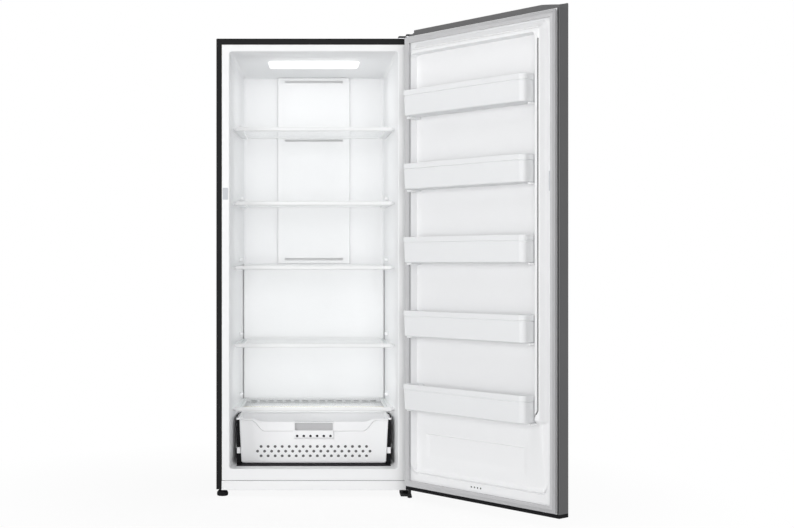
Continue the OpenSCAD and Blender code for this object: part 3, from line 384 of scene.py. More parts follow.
class Shape:
    # Collects grids of points and their faces, and makes one mesh of them

    def __init__(self):
        self.points, self.faces, self.count = [], [], 0

    def add(self, points, faces, caps=()):
        points = np.reshape(points, (-1, 3))
        self.faces += (np.asarray(faces) + self.count).tolist()
        self.faces += [(np.asarray(cap) + self.count).tolist() for cap in caps]
        self.points.append(points)
        self.count += len(points)
        return self

    def sheet(self, points, faces):
        # An open surface: only the points that its faces use
        used, faces = np.unique(faces.ravel(), return_inverse=True)
        return self.add(points[used], faces.reshape(-1, 4))

    def rings(self, points, ends=(0, -1), loop=False):
        # Closed rings joined one to the next, with a face on those that ends counts; a loop joins the last
        # to the first
        rows, cols = points.shape[:2]
        caps = [np.arange(cols) + end % rows * cols for end in ends]
        return self.add(points, gridFaces(rows, cols, loop, True), caps)

    def block(self, low, high, radius, edge, steps=6, axis="z"):
        # A box from corner to corner: the radius rounds it about the axis, the edge rounds its two faces
        along = "xyz".index(axis)
        corners = rectangle(*np.delete(low, along), *np.delete(high, along))
        return self.rings(loft(corners, radius, quarterEdges(low[along], high[along], edge), axis, steps))

    def pair(self, low, high, radius, edge):
        # A block at the right, whose corners are given, and its mirror image at the left
        for side in (-1, 1):
            x0, x1 = sorted((side * low[0], side * high[0]))
            self.block((x0, *low[1:]), (x1, *high[1:]), radius, edge, 4)
        return self

    def disc(self, profile, spot, axis="z", steps=40):
        # Profile of (radius, place) pairs turned round an axis through the spot
        profile = np.array(profile, float)
        a = np.linspace(0, 2 * math.pi, steps, endpoint=False)
        flat = profile[:, :1, None] * np.stack([np.cos(a), np.sin(a)], -1) + np.array(spot)
        return self.rings(placed(flat, profile[:, 1:], axis))

    def make(self, name, slot, body, stands=None, sharp=35, wall=0):
        # Pieces that ride with the door are worked out as it lies when shut, and turned open here. A piece with
        # a wall is an open sheet that gets its thickness behind its faces
        points = np.concatenate(self.points)
        if body.startswith("door"):
            points = turned(points, openTurn)
        mesh = bpy.data.meshes.new(name)
        mesh.from_pydata((points / perMetre).tolist(), [], self.faces)
        shaping = bmesh.new()
        shaping.from_mesh(mesh)
        bmesh.ops.remove_doubles(shaping, verts=shaping.verts, dist=2e-6)
        if not wall:
            bmesh.ops.recalc_face_normals(shaping, faces=shaping.faces)
        shaping.to_mesh(mesh)
        shaping.free()
        mesh.polygons.foreach_set("use_smooth", np.ones(len(mesh.polygons), bool))
        mesh.set_sharp_from_angle(angle=math.radians(sharp))
        mesh.materials.append(finishes[slot])
        piece = addObject(name, mesh)
        if wall:
            solid = piece.modifiers.new("wall", "SOLIDIFY")
            solid.thickness = wall / perMetre
            solid.offset = -1
        piece.modifiers.new("normals", "WEIGHTED_NORMAL").keep_sharp = True
        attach(piece, body)
        if stands:
            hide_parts(stands)
        return piece


# Outer case: folded sheet whose section runs in from the back edge, round the front bend and back as a hem
case = {"bend": 2, "sheet": 1.2, "rim": 23.4, "topRim": 26, "hem": 6, "corner": 3}
caseLow, caseHigh = reach("cabinet_shell")


def addCase():
    a = np.linspace(0, math.pi / 2, 6)
    bend, rim, sheet = case["bend"], case["rim"], case["sheet"]
    section = [(0, caseHigh[1]), *((inward, y) for y, inward in quarter(bend, 6)),
               (rim - 0.5, 0), (rim - 0.12, 0.15), (rim, 0.6), (rim, case["hem"]), (rim - sheet, case["hem"]),
               (rim - sheet, sheet + 0.3), (bend + 0.6, sheet + 0.3), (sheet, bend + 0.6), (sheet, caseHigh[1])]
    side, depth = np.array(section).T
    top = side * np.where(side > bend + 1, case["topRim"] / rim, 1)
    bendRadius = np.maximum(case["corner"] - side, 0.3)
    # Each section point runs up one side, round the corner's arc, across and down the other side
    x = (caseHigh[0] - side - bendRadius)[:, None] + bendRadius[:, None] * np.sin(a)
    z = (caseHigh[2] - top - bendRadius)[:, None] + bendRadius[:, None] * np.cos(a)
    foot = np.full((len(side), 1), caseLow[2])
    edge = (caseHigh[0] - side)[:, None]
    xs = np.hstack([-edge, -x[:, ::-1], x, edge])
    zs = np.hstack([foot, z[:, ::-1], z, foot])
    rows, cols = xs.shape
    ends = [np.arange(rows) * cols, np.arange(rows) * cols + cols - 1]
    Shape().add(pointed(xs, depth[:, None], zs), gridFaces(rows, cols, True, False), ends).make(
        "outerCase", "cabinet_paint", "cabinet", "cabinet_shell")


addCase()

# Liner of the food compartment: front outlines at rising depths, each with its half width, floor, ceiling,
# corner radius and depth
liner = {"half": 391.2, "low": 68.5, "high": 1922.6, "mouthHalf": 358.5, "floor": 117, "ceiling": 1894, "back": 595,
         "draft": 27.5, "mouth": 5, "corner": 12, "backRound": 18, "hump": 398, "humpTop": 340, "humpRound": 12,
         "pocketHalf": 300, "pocketLow": 362, "pocketTop": 990, "pocketBack": 620, "wall": 1.6}


def wallAt(depth):
    return liner["mouthHalf"] - liner["draft"] * depth / liner["back"]


def ceilingAt(depth):
    return liner["ceiling"] - liner["draft"] * depth / liner["back"]


def addLiner():
    floor, back, top = liner["floor"], liner["back"], liner["humpTop"]
    levels = [(liner["half"], liner["low"], liner["high"], 1.5, 4)]
    levels += [(liner["half"] - drawn, liner["low"] + drawn, liner["high"] - drawn, 1.5, y)
               for y, drawn in quarter(0.8, 4)]
    levels += [(wallAt(y) + out, floor - out, ceilingAt(y) + out, liner["corner"] + out, y)
               for out, y in quarter(liner["mouth"], 7)]
    # Floor rises over the machine space by a fillet, a wall and a round edge
    arc = quarter(liner["humpRound"], 7)
    path = [(y, floor) for y in (60, 200, 330)] + [(liner["hump"] - out, floor + up) for out, up in arc]
    path += [(liner["hump"] + up + 0.2, top - out) for out, up in arc] + [(y, top) for y in (450, 520)]
    levels += [(wallAt(y), low, ceilingAt(y), liner["corner"] + 4 * y / back, y) for y, low in path]
    for gap, out in quarter(liner["backRound"], 7):
        y = back - gap
        levels.append((wallAt(y) - out, top + out * 0.3, ceilingAt(y) - out * 0.4, liner["corner"] + 4, y))
    levels += [(liner["pocketHalf"], liner["pocketLow"], liner["pocketTop"], 8, y)
               for y in (back, back + 3, liner["pocketBack"])]
    rings = np.stack([placed(outline(rectangle(-half, low, half, high), radius), depth, "y")
                      for half, low, high, radius, depth in levels])
    Shape().rings(rings, [-1]).make("foodLiner", "liner_plastic", "cabinet", "inner_liner", wall=liner["wall"])


addLiner()

# Shelves: heights of their front mouldings, from the frame, and the ledges and stops that carry them
shelf = {"rise": 3.2, "ledge": 7, "ledgeIn": 310, "ledgeBack": 546, "stopFront": 409, "stopLong": 26, "stopLow": 26,
         "stopHigh": 40, "stopIn": 324, "rearHalf": 307}
shelfSpans = [reach(f"shelf_{n}_trim") for n in range(1, 6)]


def addLedges():
    shape = Shape()
    for low, high in shelfSpans:
        top = (low[2] + high[2]) / 2 + shelf["rise"]
        shape.pair((shelf["ledgeIn"], low[1] + 13, top - shelf["ledge"]),
                   (wallAt(low[1]) + 1, shelf["ledgeBack"], top), 4, 2)
        stop = shelf["stopFront"]
        shape.pair((shelf["stopIn"], stop, top + shelf["stopLow"]),
                   (wallAt(stop) + 1, stop + shelf["stopLong"], top + shelf["stopHigh"]), 4, 2)
    shape.make("shelfLedges", "liner_plastic", "cabinet")


def addShelves():
    for n, (low, high) in enumerate(shelfSpans, 1):
        middle = (low[2] + high[2]) / 2
        front, back, half = low[1], high[1], high[0]
        section = [(front, low[2]), (front + 12, low[2]), (front + 12, high[2]), (front, high[2])]
        levels = [(1.2, -half), (0.35, -half + 0.35), (0, -half + 1.2), (0, -half + 30), (0.5, -half + 30.5),
                  (0.5, -half + 31.1), (0, -half + 31.6)]
        levels += [(inset, -along) for inset, along in levels[::-1]]
        shape = Shape().rings(loft(section, [4.5, 1, 1, 4.5], levels, "x", 5))
        half = shelf["rearHalf"]
        shape.block((-half, back - 10, middle + 1.5), (half, back, middle + 10.5), [1, 1, 3, 1], 1, axis="x")
        shape.make(f"shelfTrim{n}", "shelf_trim", f"shelf_{n}", f"shelf_{n}_trim")
        Shape().block(*reach(f"shelf_{n}_glass"), 3, 0.7).make(
            f"shelfGlass{n}", "shelf_glass", f"shelf_{n}", f"shelf_{n}_glass")


addLedges()
addShelves()
print("liner and shelves made")

# Covers on the back wall: a front with round edges that turn back to the wall, and real slots
duct = {"front": 583, "back": 594.6, "round": 4, "half": 170, "low": 990, "high": 1865.5, "slotHalf": 136,
        "slots": (1012, 1570, 1846), "slotHigh": 5}
coil = {"front": 565, "back": 594.8, "round": 9, "half": 330.2, "low": 340.3, "high": 990, "slotPitch": 40,
        "slotHalf": 14, "slotZ": 347, "slotHigh": 4}


def coverDepth(u, v, sizes):
    # Depth of the front's edge: a quarter circle from the front plane to the side, then straight back
    gap = np.minimum(np.minimum(sizes["half"] - np.abs(u), v - sizes["low"]), sizes["high"] - v)
    r = sizes["round"]
    lap = np.clip(r - gap, 0, r)
    return sizes["front"] + r - np.sqrt(np.maximum(r * r - lap * lap, 0))


def addCover(name, node, sizes, holes, slot, across, up):
    flat, faces = pierced(across, up, holes)
    depth = coverDepth(flat[:, 0], flat[:, 1], sizes)
    shape = Shape().sheet(placed(flat, depth, "y"), faces)
    # Skirt from the front's outer edge back to the wall
    edge = outline(rectangle(-sizes["half"], sizes["low"], sizes["half"], sizes["high"]), 0.02, steps=1)
    skirt = np.stack([placed(edge, y, "y") for y in (sizes["front"] + sizes["round"], sizes["back"])])
    shape.add(skirt, gridFaces(2, len(edge), False, True)[:, ::-1])
    shape.make(name, slot, "cabinet", node, wall=1.8)


def addBackCovers():
    r, half, slot = duct["round"], duct["half"], duct["slotHalf"]
    across = lines((-half, r - half, 0.8), (r - half, 4 - slot, 15), (-slot - 3, 5 - slot, 1.3), (-120, 120, 20),
                   (slot - 5, slot + 3, 1.3), (slot - 4, half - r, 15), (half - r, half, 0.8))
    bands = [(z - 6, z + 6, 1.2) for z in duct["slots"]]
    up = lines((duct["low"], duct["low"] + r, 0.8), (duct["low"] + r, duct["high"] - r, 40),
               (duct["high"] - r, duct["high"], 0.8), *bands)
    holes = [(0, z, slot, duct["slotHigh"], 3.6) for z in duct["slots"]]
    addCover("ductFront", "air_duct_cover", duct, holes, "cover_plastic", across, up)
    r, half, slot, slotZ = coil["round"], coil["half"], coil["slotHalf"], coil["slotZ"]
    spots = [i * coil["slotPitch"] for i in range(-7, 8)]
    bands = [(x + s * slot - 2, x + s * slot + 2, 1.3) for x in spots for s in (-1, 1)]
    across = lines((-half, r - half, 1), (r - half, half - r, 20), (half - r, half, 1), *bands)
    up = lines((coil["low"], coil["low"] + 1, 1), (slotZ - 6, slotZ + 6, 1.2), (slotZ + 6, coil["high"] - r, 40),
               (coil["high"] - r, coil["high"], 1))
    holes = [(x, slotZ, slot, coil["slotHigh"], 3.4) for x in spots]
    addCover("coilCover", "evaporator_cover", coil, holes, "cover_plastic", across, up)


addBackCovers()

# Lamp lens: a dished cover with a domed edge, hung under the ceiling
lens = {"round": 22, "dome": 9}


def addLens():
    low, high = reach("light_lens")
    levels = [(3 + inset, low[2] + 0.75 * up) for inset, up in quarter(lens["dome"], 7)]
    levels += [(1.5, high[2] - 4), (0, high[2] - 2.5), (0, high[2])]
    Shape().rings(loft(rectangle(*low[:2], *high[:2]), lens["round"], levels)).make(
        "lampLens", "lens_plastic", "cabinet", "light_lens")


addLens()


def addKickAndSensor():
    low, high = reach("kick_panel")
    front, back = low[1], high[1]
    levels = [(0, back), (0, front + 0.8), (0.3, front + 0.3), (0.8, front), (6, front), (6.5, front + 0.5)]
    Shape().rings(loft(rectangle(low[0], low[2] - 3, high[0], high[2] - 2), 1.5, levels, "y")).make(
        "kickPlate", "cover_plastic", "cabinet", "kick_panel")
    Shape().block(*reach("door_sensor"), 3, 0.5, axis="y").make(
        "sensorCap", "sensor_plastic", "cabinet", "door_sensor")


addKickAndSensor()

# Drawer: one wall carried round its plan from the middle of the front, with the height as the second
# parameter. The front has the step, the handle's plate, the grip's window, six holes and the vents
drawer = {"half": 326, "front": 125, "back": 383, "corner": 8, "low": 122, "taper": 10, "fillet": 8, "round": 12,
          "middleTop": 303, "endTop": 316, "stepLow": 262, "stepHigh": 309, "stepIn": 215, "stepOut": 272,
          "raise": 4.5, "plate": 2.2, "plateHalf": 86.5, "plateLow": 232, "plateHigh": 306, "gripHalf": 82,
          "gripLow": 264, "gripHigh": 301, "holePitch": 29, "holeZ": 238.5, "hole": 5.6, "ventPitch": 30.6,
          "ventZ": 169, "ventRow": 21.3, "vent": 6.3, "wall": 2.4, "rimHalf": 338, "rimLow": 311.5, "rimHigh": 320,
          # The next two lines also hold the sizes of the dark strips that paint the shade in the gaps beside the
          # front
          "finIn": 320, "finOut": 335, "finLow": 164, "finHigh": 192, "lipHalf": 335.5, "lipIn": 312,
          "lipTurn": 322, "lipRound": 22, "lipEnd": 300, "railFront": 245, "wallGrid": 194, "knee": 176,
          "frontRise": (222, 268), "sideFrom": 280,
          "leanTop": 198, "rimSpan": (121, 385), "finSpan": (136, 378), "finCap": (192.4, 196)}


def addDrawer():
    d = drawer
    r, half = d["corner"], d["half"]
    arc = quarter(r, 7)
    way = np.array([(0, d["front"]), *((half - gap, d["front"] + up) for gap, up in arc),
                    *((half - gap, d["back"] - up) for up, gap in arc), (0, d["back"])])
    run = np.r_[0, np.cumsum(np.hypot(*np.diff(way, axis=0).T))]
    right = np.unique(np.r_[lines((0, 272, 2), (272, run[1], 8), (run[7], run[8], 22), (run[14], run[15], 40)), run])
    us = np.unique(np.r_[-right, right].round(4))
    vs = lines((0, 1, 0.17), (1, 3, 1), (24, 86, 2), (86, 110, 8), (110, 170, 2), (170, d["wallGrid"], 2.4))
    grip = np.array([d["gripLow"], d["gripHigh"]]) - d["low"]
    holes = [(0, grip.mean(), d["gripHalf"], np.ptp(grip) / 2, 2)]
    # Rows of round holes: how many, their pitch, height and radius
    rows = [(6, d["holePitch"], d["holeZ"], d["hole"])]
    rows += [(count, d["ventPitch"], d["ventZ"] + row * d["ventRow"], d["vent"])
             for row, count in ((-1, 16), (0, 17), (1, 16))]
    for count, pitch, z, radius in rows:
        holes += [((i - (count - 1) / 2) * pitch, z - d["low"], radius, radius, radius) for i in range(count)]
    flat, faces = pierced(us, vs, holes)
    s, v = flat.T
    along = np.abs(s)
    x, y = np.interp(along, run, way[:, 0]), np.interp(along, run, way[:, 1])
    # Below v = 1 the wall turns in to the floor by a quarter circle; above it v is the height over the floor
    turn = np.clip(v, 0, 1) * math.pi / 2
    inward = np.where(v < 1, d["fillet"] * (1 - np.sin(turn)), 0)
    grid, knee = d["wallGrid"], d["knee"]
    up = np.where(v < 1, d["fillet"] * (1 - np.cos(turn)), d["fillet"] + (v - 1) * (grid - d["fillet"]) / (grid - 1))
    top = d["middleTop"] + (d["endTop"] - d["middleTop"]) * ease(along, *d["frontRise"])
    top = np.where(along < run[1] + 2, top, d["endTop"])
    up = np.where(up > knee, knee + (up - knee) * (top - d["low"] - knee) / (grid - knee), up)
    z = d["low"] + up
    # Sides lean in towards the floor, and the front's lower corners are round
    lean = d["taper"] * (1 - np.clip(up / d["leanTop"], 0, 1))
    bow = np.clip(d["round"] - up, 0, d["round"])
    lean = lean + np.where(y < d["front"] + 40, (d["round"] - np.sqrt(d["round"] ** 2 - bow ** 2)) * 0.9, 0)
    lean = lean + inward
    side = d["sideFrom"]
    x = np.where(x > side, side + (x - side) * (1 - lean / (half - side)), x)
    middle, deep = (d["front"] + d["back"]) / 2, (d["back"] - d["front"]) / 2
    y = y + inward * np.clip((middle - y) / deep, -1, 1)
    step = d["stepLow"] + (d["stepHigh"] - d["stepLow"]) * ease(along, d["stepIn"], d["stepOut"])
    raised = d["raise"] * ease(z - step, -0.6, 1.8)
    span = np.array([d["plateLow"], d["plateHigh"]])
    gap = edgeDistance(np.column_stack([s, z]), (0, span.mean(), d["plateHalf"], np.ptp(span) / 2, 4))
    raised = np.maximum(raised, (d["raise"] + d["plate"]) * ease(-gap, -0.4, 2.2))
    onFront = (along < run[1] - 2) & (v > 0)
    y = y - np.where(onFront, raised * ease(v, 0, 2), 0)
    points = np.column_stack([np.sign(s) * x, y, z])
    shape = Shape().sheet(points, faces)
    floor = points[v == 0]
    shape.add(floor, np.empty((0, 4), int), [np.arange(len(floor) - 1)])
    shape.make("drawerTub", "drawer_plastic", "drawer", "drawer_basket", wall=d["wall"])
    # Rim over the sides and the back, a long fin at each side and its front end
    (y0, y1), (fin0, fin1), (cap0, cap1) = d["rimSpan"], d["finSpan"], d["finCap"]
    rim = Shape().pair((half - 2, y0, d["rimLow"]), (d["rimHalf"], y1, d["rimHigh"]), 4, 3)
    rim.pair((d["finIn"], fin0, cap0), (d["finOut"], fin1, cap1), 2, 1)
    rim.pair((d["finIn"], fin0 - 10, d["finLow"] + 1), (d["finOut"], fin0, d["finHigh"] - 1), 2, 1)
    rim.block((-half, y1 - 8, d["rimLow"]), (half, y1, d["rimHigh"]), 2, 3, 4)
    rim.make("drawerRim", "drawer_plastic", "drawer")


def addDrawerCup():
    low, high = reach("drawer_handle")
    front, back = low[1], high[1]
    levels = [(3, front + 0.1), (0.6, front + 0.1), (0, front + 0.7), (0, back - 3), (3, back),
              (6, back - 2.2), (4.6, back - 3.2), (3.8, back - 6), (3.4, front + 0.2)]
    corners = rectangle(low[0], low[2] + 0.5, high[0], high[2])
    Shape().rings(loft(corners, 4, levels, "y")).make("drawerCup", "handle_grey", "drawer", "drawer_handle")
    # Dark plates behind the small holes and behind the vents, which paint the shade seen through them
    d = drawer
    front = d["front"]
    half, z = d["plateHalf"] - 4, d["holeZ"]
    Shape().block((-half, front + 2.6, z - 9), (half, front + 4.4, z + 9), 3, 0.4, axis="y").make(
        "gripSeal", "dark_plastic", "drawer")
    half, tall, z = 8.5 * d["ventPitch"], 1.6 * d["ventRow"], d["ventZ"]
    Shape().block((-half, front + 2.7, z - tall), (half, front + 4.2, z + tall), 6, 0.4, axis="y").make(
        "ventScreen", "cap_grey", "drawer")
    low, high = reach("drawer_rails")
    Shape().pair((d["half"] - 1.5, d["railFront"], low[2]), (wallAt(low[1]) + 0.5, *high[1:]), 4, 3).make(
        "drawerRunners", "liner_plastic", "cabinet", "drawer_rails")


def addDrawerGapShades():
    # Dark strips that paint the shade in the gaps at both sides of the front: a flat strip carried up each side,
    # broken by the fin, and turned in by an arc over the rim. A dark strip along the floor under the front, and one
    # on the cabinet's floor in front of the drawer, paint the shadow there
    d = drawer
    half, within, foot, y = d["lipHalf"], d["lipIn"], 117.8, 128.5
    a = np.linspace(0, math.radians(78), 9)
    turns = [np.column_stack([half - d["lipRound"] + r * np.cos(a), d["lipTurn"] + r * np.sin(a)])
             for r in (d["lipRound"], d["lipRound"] - 4)]
    lower = [[(x, foot), (x, d["finLow"])] for x in (half, within)]
    upper = [[(half, d["finHigh"]), (half, d["lipEnd"]), *turns[0]],
             [(within, d["finHigh"]), (within + 6, d["lipEnd"]), *turns[1]]]
    shape = Shape()
    for side in (-1, 1):
        for outer, inside in (lower, upper):
            flat = np.stack([outer, outer, inside, inside], 1) * (side, 1)
            shape.rings(placed(flat, [y, y + 3.5, y + 3.5, y], "y"))
    shape.block((-within, y, foot), (within, 136, 121.6), 1, 0.5, 4)
    shape.make("drawerLips", "dark_plastic", "drawer")
    Shape().block((2 - half, 78, 117.2), (half - 2, 124, 120), 2, 0.5).make("floorStrip", "dark_plastic", "cabinet")


addDrawer()
addDrawerCup()
addDrawerGapShades()
print("drawer made")

# Door, worked out as it lies when shut: x from the free side at -415 to the hinge side, y -75 at its front
skinLow, skinHigh = reach("door_skin", True)
door = {"bend": 11, "hem": 10, "sheet": 1.2, "gripX": (-395, -363), "gripZ": (794, 1214), "gripDeep": 25,
        "panelHalf": 70, "panelZ": (1480, 1520), "capRound": 11, "footCapDown": 1, "capDrop": 11,
        "notch": (50, 43),
        "hemRound": 1.6}


def addSkin():
    # Plan of the folded skin: hem, side, front and the same again, carried up the door, with two windows
    x1, front, back = skinHigh[0], skinLow[1], skinHigh[1]
    hem, r = door["hem"], door["hemRound"]
    plan = np.array([(x1 - hem, back - r - 1), (x1 - hem, back - r), (x1 - r - 0.8, back),
                     *((x1 - gap, back - down) for gap, down in quarter(r, 7)),
                     *((x1 - gap, front + up) for up, gap in quarter(door["bend"], 7))])
    across = (door["panelHalf"], -door["panelHalf"], *door["gripX"][::-1])
    plan = np.vstack([plan, [(x, front) for x in across], plan[::-1] * (-1, 1)])
    up = np.array([skinLow[2], *door["gripZ"], *door["panelZ"], skinHigh[2]])
    rings = placed(np.broadcast_to(plan, (len(up), *plan.shape)), up[:, None], "z")
    faces = gridFaces(len(up), len(plan))
    x, y, z = rings.reshape(-1, 3)[faces].mean(1).T
    windows = ((door["gripX"], door["gripZ"]), ((-door["panelHalf"], door["panelHalf"]), door["panelZ"]))
    cut = np.any([(x > x0) & (x < x1) & (z > z0) & (z < z1) for (x0, x1), (z0, z1) in windows], 0)
    Shape().sheet(rings.reshape(-1, 3), faces[~(cut & (y < front + 0.01))][:, ::-1]).make(
        "doorWrap", "door_paint", "door", "door_skin", wall=door["sheet"])


def addCaps():
    low, high = reach("door_top_cap", True)
    r = door["capRound"]
    notchX, notchY = high[:2] - door["notch"]
    # Extra points near the free end, where the top bends down towards the inner edge by eased shares of both ways
    nearX, nearY = [-400, -385, -365, -345, -325], [-30, -45, -60]
    plan = [(low[0], low[1]), (high[0], low[1]), (high[0], notchY), (notchX, notchY), (notchX, high[1])]
    plan += [(x, high[1]) for x in nearX[::-1]] + [(low[0], high[1])] + [(low[0], y) for y in nearY]
    rounds = [r, r, 1.5, 3, 2] + [0] * len(nearX) + [3] + [0] * len(nearY)
    rings = loft(plan, rounds, quarterEdges(low[2] - 0.4, high[2], 2.2, 5))
    share = ease(-rings[..., 0], 325, 405) * ease(rings[..., 1], -68, -22) * (rings[..., 2] > (low[2] + high[2]) / 2)
    rings[..., 2] -= door["capDrop"] * share
    shape = Shape().rings(rings)
    shape.block((notchX + 3, notchY - 0.5, low[2] - 1), high - (12, 8, 12), 3, 1.5)
    shape.make("doorTopCap", "cap_grey", "door", "door_top_cap")
    low, high = reach("door_bottom_cap", True)
    Shape().block(low - (0, 0, door["footCapDown"]), high + (0, 0, 0.4), [r, r, 3, 3], 0.8).make(
        "doorFootCap", "dark_plastic", "door", "door_bottom_cap")


# Seal: closed section of (inset, depth) carried round the door, with bellows at its outer side
sealSection = [(3, -15), (2.6, -13), (4.4, -12), (2, -10.6), (0.6, -9.4), (0, -8), (0, -2.2), (0.6, -1.1), (2, -0.8),
               (8, -0.8), (9.5, -1.7), (11, -0.8), (17, -0.8), (18.5, -1.7), (20, -0.8), (24, -0.8), (25.4, -1.1),
               (26, -2.2), (26, -6), (24, -8), (22.5, -10), (23.5, -12), (22, -13.5), (22, -15)]
# Width of the outer band of the free side's strip that gets the painted shade
bellows = 13


def addSeal():
    low, high = reach("door_gasket", True)
    corners = rectangle(low[0], low[2] + 2.2, high[0], high[2] - 3.5)
    rings = loft(corners, 2, sealSection, "y", 4)
    seal = Shape().rings(rings, (), True).make("doorSeal", "gasket_vinyl", "door", "door_gasket")
    # Share of the painted shade on the bellows at each point: 1 within the outer half of the free side's strip
    points = turned(pointsOf(seal.data) * perMetre, -openTurn)
    share = ease(low[0] + bellows - points[:, 0], -1, 1)
    seal.data.attributes.new("bellows", "FLOAT", "POINT").data.foreach_set("value", share)


# Inner face of the door: a height over the flat land, on a grid with close lines where the rim lies
inner = {"half": 404.8, "land": -15, "rise": 38, "free": -368, "freeRamp": 21, "hinge": 369.5, "hingeRamp": 25.5,
         "top": 1912, "topRamp": 36.5, "foot": 108, "footRamp": 6, "innerFree": -323, "innerHinge": 342,
         "innerTop": 1861, "innerFoot": 40, "corner": 14, "freeEnd": (366, 402), "hingeEnd": (100, 160),
         "grooveX": -342.5, "grooveTop": 1843, "grooveEnd": 440, "grooveWide": 2.5, "grooveDeep": 13, "cord": 1.25,
         "panel": 4.5, "panelFree": (-369, -343), "panelHinge": (352, 378), "recess": 3.6, "recessTop": 283,
         "bead": 4, "crease": 4, "topLine": 1886, "topDeep": 6, "swell": 15, "swellFoot": 130,
         "swellIn": (-350, -262), "grooveTurn": (22, 40), "drains": (35, 17, 1, -16), "drainZ": 97, "foamGap": 7}
panelFoot = {"x": (-362, -355, -345, -330, 353), "z": (168, 132, 122, 118.5, 115)}
magnet = {"x": (-373.5, -367.5), "y": (-15.6, -12.4), "z": (1264, 1340)}


def lip(share):
    # Rise of a moulded edge: an eased ramp whose crest is rounded
    return np.interp(share, (0, 0.1, 0.5, 0.88, 1, 1.2), (0, 0.03, 0.34, 0.9, 0.975, 1))


def grooveAt(z):
    # The groove's line, which turns in at its lower end
    way, over = inner["grooveTurn"]
    return inner["grooveX"] + way * ease(inner["grooveEnd"] - z, 0, over)


def innerHeight(x, z):
    d = inner
    # Rim: the least of four ramps up from the land, rounded where they meet by the root of the summed squares
    shares = ((x - d["free"]) / d["freeRamp"], (d["hinge"] - x) / d["hingeRamp"],
              (d["top"] - z) / d["topRamp"], (z - d["foot"]) / d["footRamp"])
    over = 1.3
    short = np.sqrt(sum(np.maximum(0, over - share) ** 2 for share in shares))
    outer = lip(over - short)
    # Wall down from the crest to the panel, by the distance to the inner outline
    middle = ((d["innerFree"] + d["innerHinge"]) / 2, (d["innerTop"] + d["innerFoot"]) / 2)
    halves = (d["innerHinge"] - middle[0], d["innerTop"] - middle[1])
    gap = edgeDistance(np.column_stack([x, z]), (*middle, *halves, d["corner"]))
    wall = np.interp(gap, (-4, -1.5, 0, 0.8, 2.2, 3.4, 5.5), (0, 0.02, 0.08, 0.3, 0.86, 0.97, 1))
    end = np.where(x < 0, ease(z, *d["freeEnd"]), ease(z, *d["hingeEnd"]))
    rim = d["rise"] * np.minimum(outer, wall) * end
    # Groove down the free side, which turns in towards the panel at its lower end, and a line in the top's corner
    cut = ridge(x, grooveAt(z), d["grooveWide"], 4) * ease(d["grooveTop"] - z, 0, 8) * ease(z, 396, 404)
    rim = rim - np.minimum(d["grooveDeep"] * cut, np.maximum(rim - d["panel"], 0))
    rim = rim - d["topDeep"] * ridge(z, d["topLine"], 2, 4) * window(x, -338, -330, 338, 346)
    # Panel inside the rim, with a crisp lower edge, soft sides, and a shallow recess under a crisp line
    foot = np.interp(x, panelFoot["x"], panelFoot["z"])
    edge = lip((z - foot) / 4.5)
    panel = d["panel"] * window(x, *d["panelFree"], *d["panelHinge"]) * edge * ease(d["top"] - z, 0, 40)
    soft = ease(z, 168, 205) * window(x, -268, -240, 262, 292)
    recess = d["recess"] * soft * ease(d["recessTop"] - z, -0.8, 0.8)
    lap = 1.2 * ridge(z, d["recessTop"] + 4, 3) * soft
    # Bead along the panel's lower edge, and on the free side a swell that sinks to the foot and to the middle
    bead = d["bead"] * edge * ease(foot + 26 - z, 0, 12) * window(x, -360, -344, 326, 352)
    swell = d["swell"] * ease(z, d["swellFoot"], 400) * outer * (1 - ease(x, *d["swellIn"]))
    swell = swell * (x < 0) * (1 - ease(z, 400, 440))
    # Creases under the panel's edge and over the recess
    crease = ridge(z, foot - 0.6, 1.8) * window(x, -358, -350, 325, 342) + 0.35 * ridge(z, d["recessTop"], 1.6) * soft
    return np.maximum(rim, panel - recess + lap + bead + swell) - d["crease"] * crease


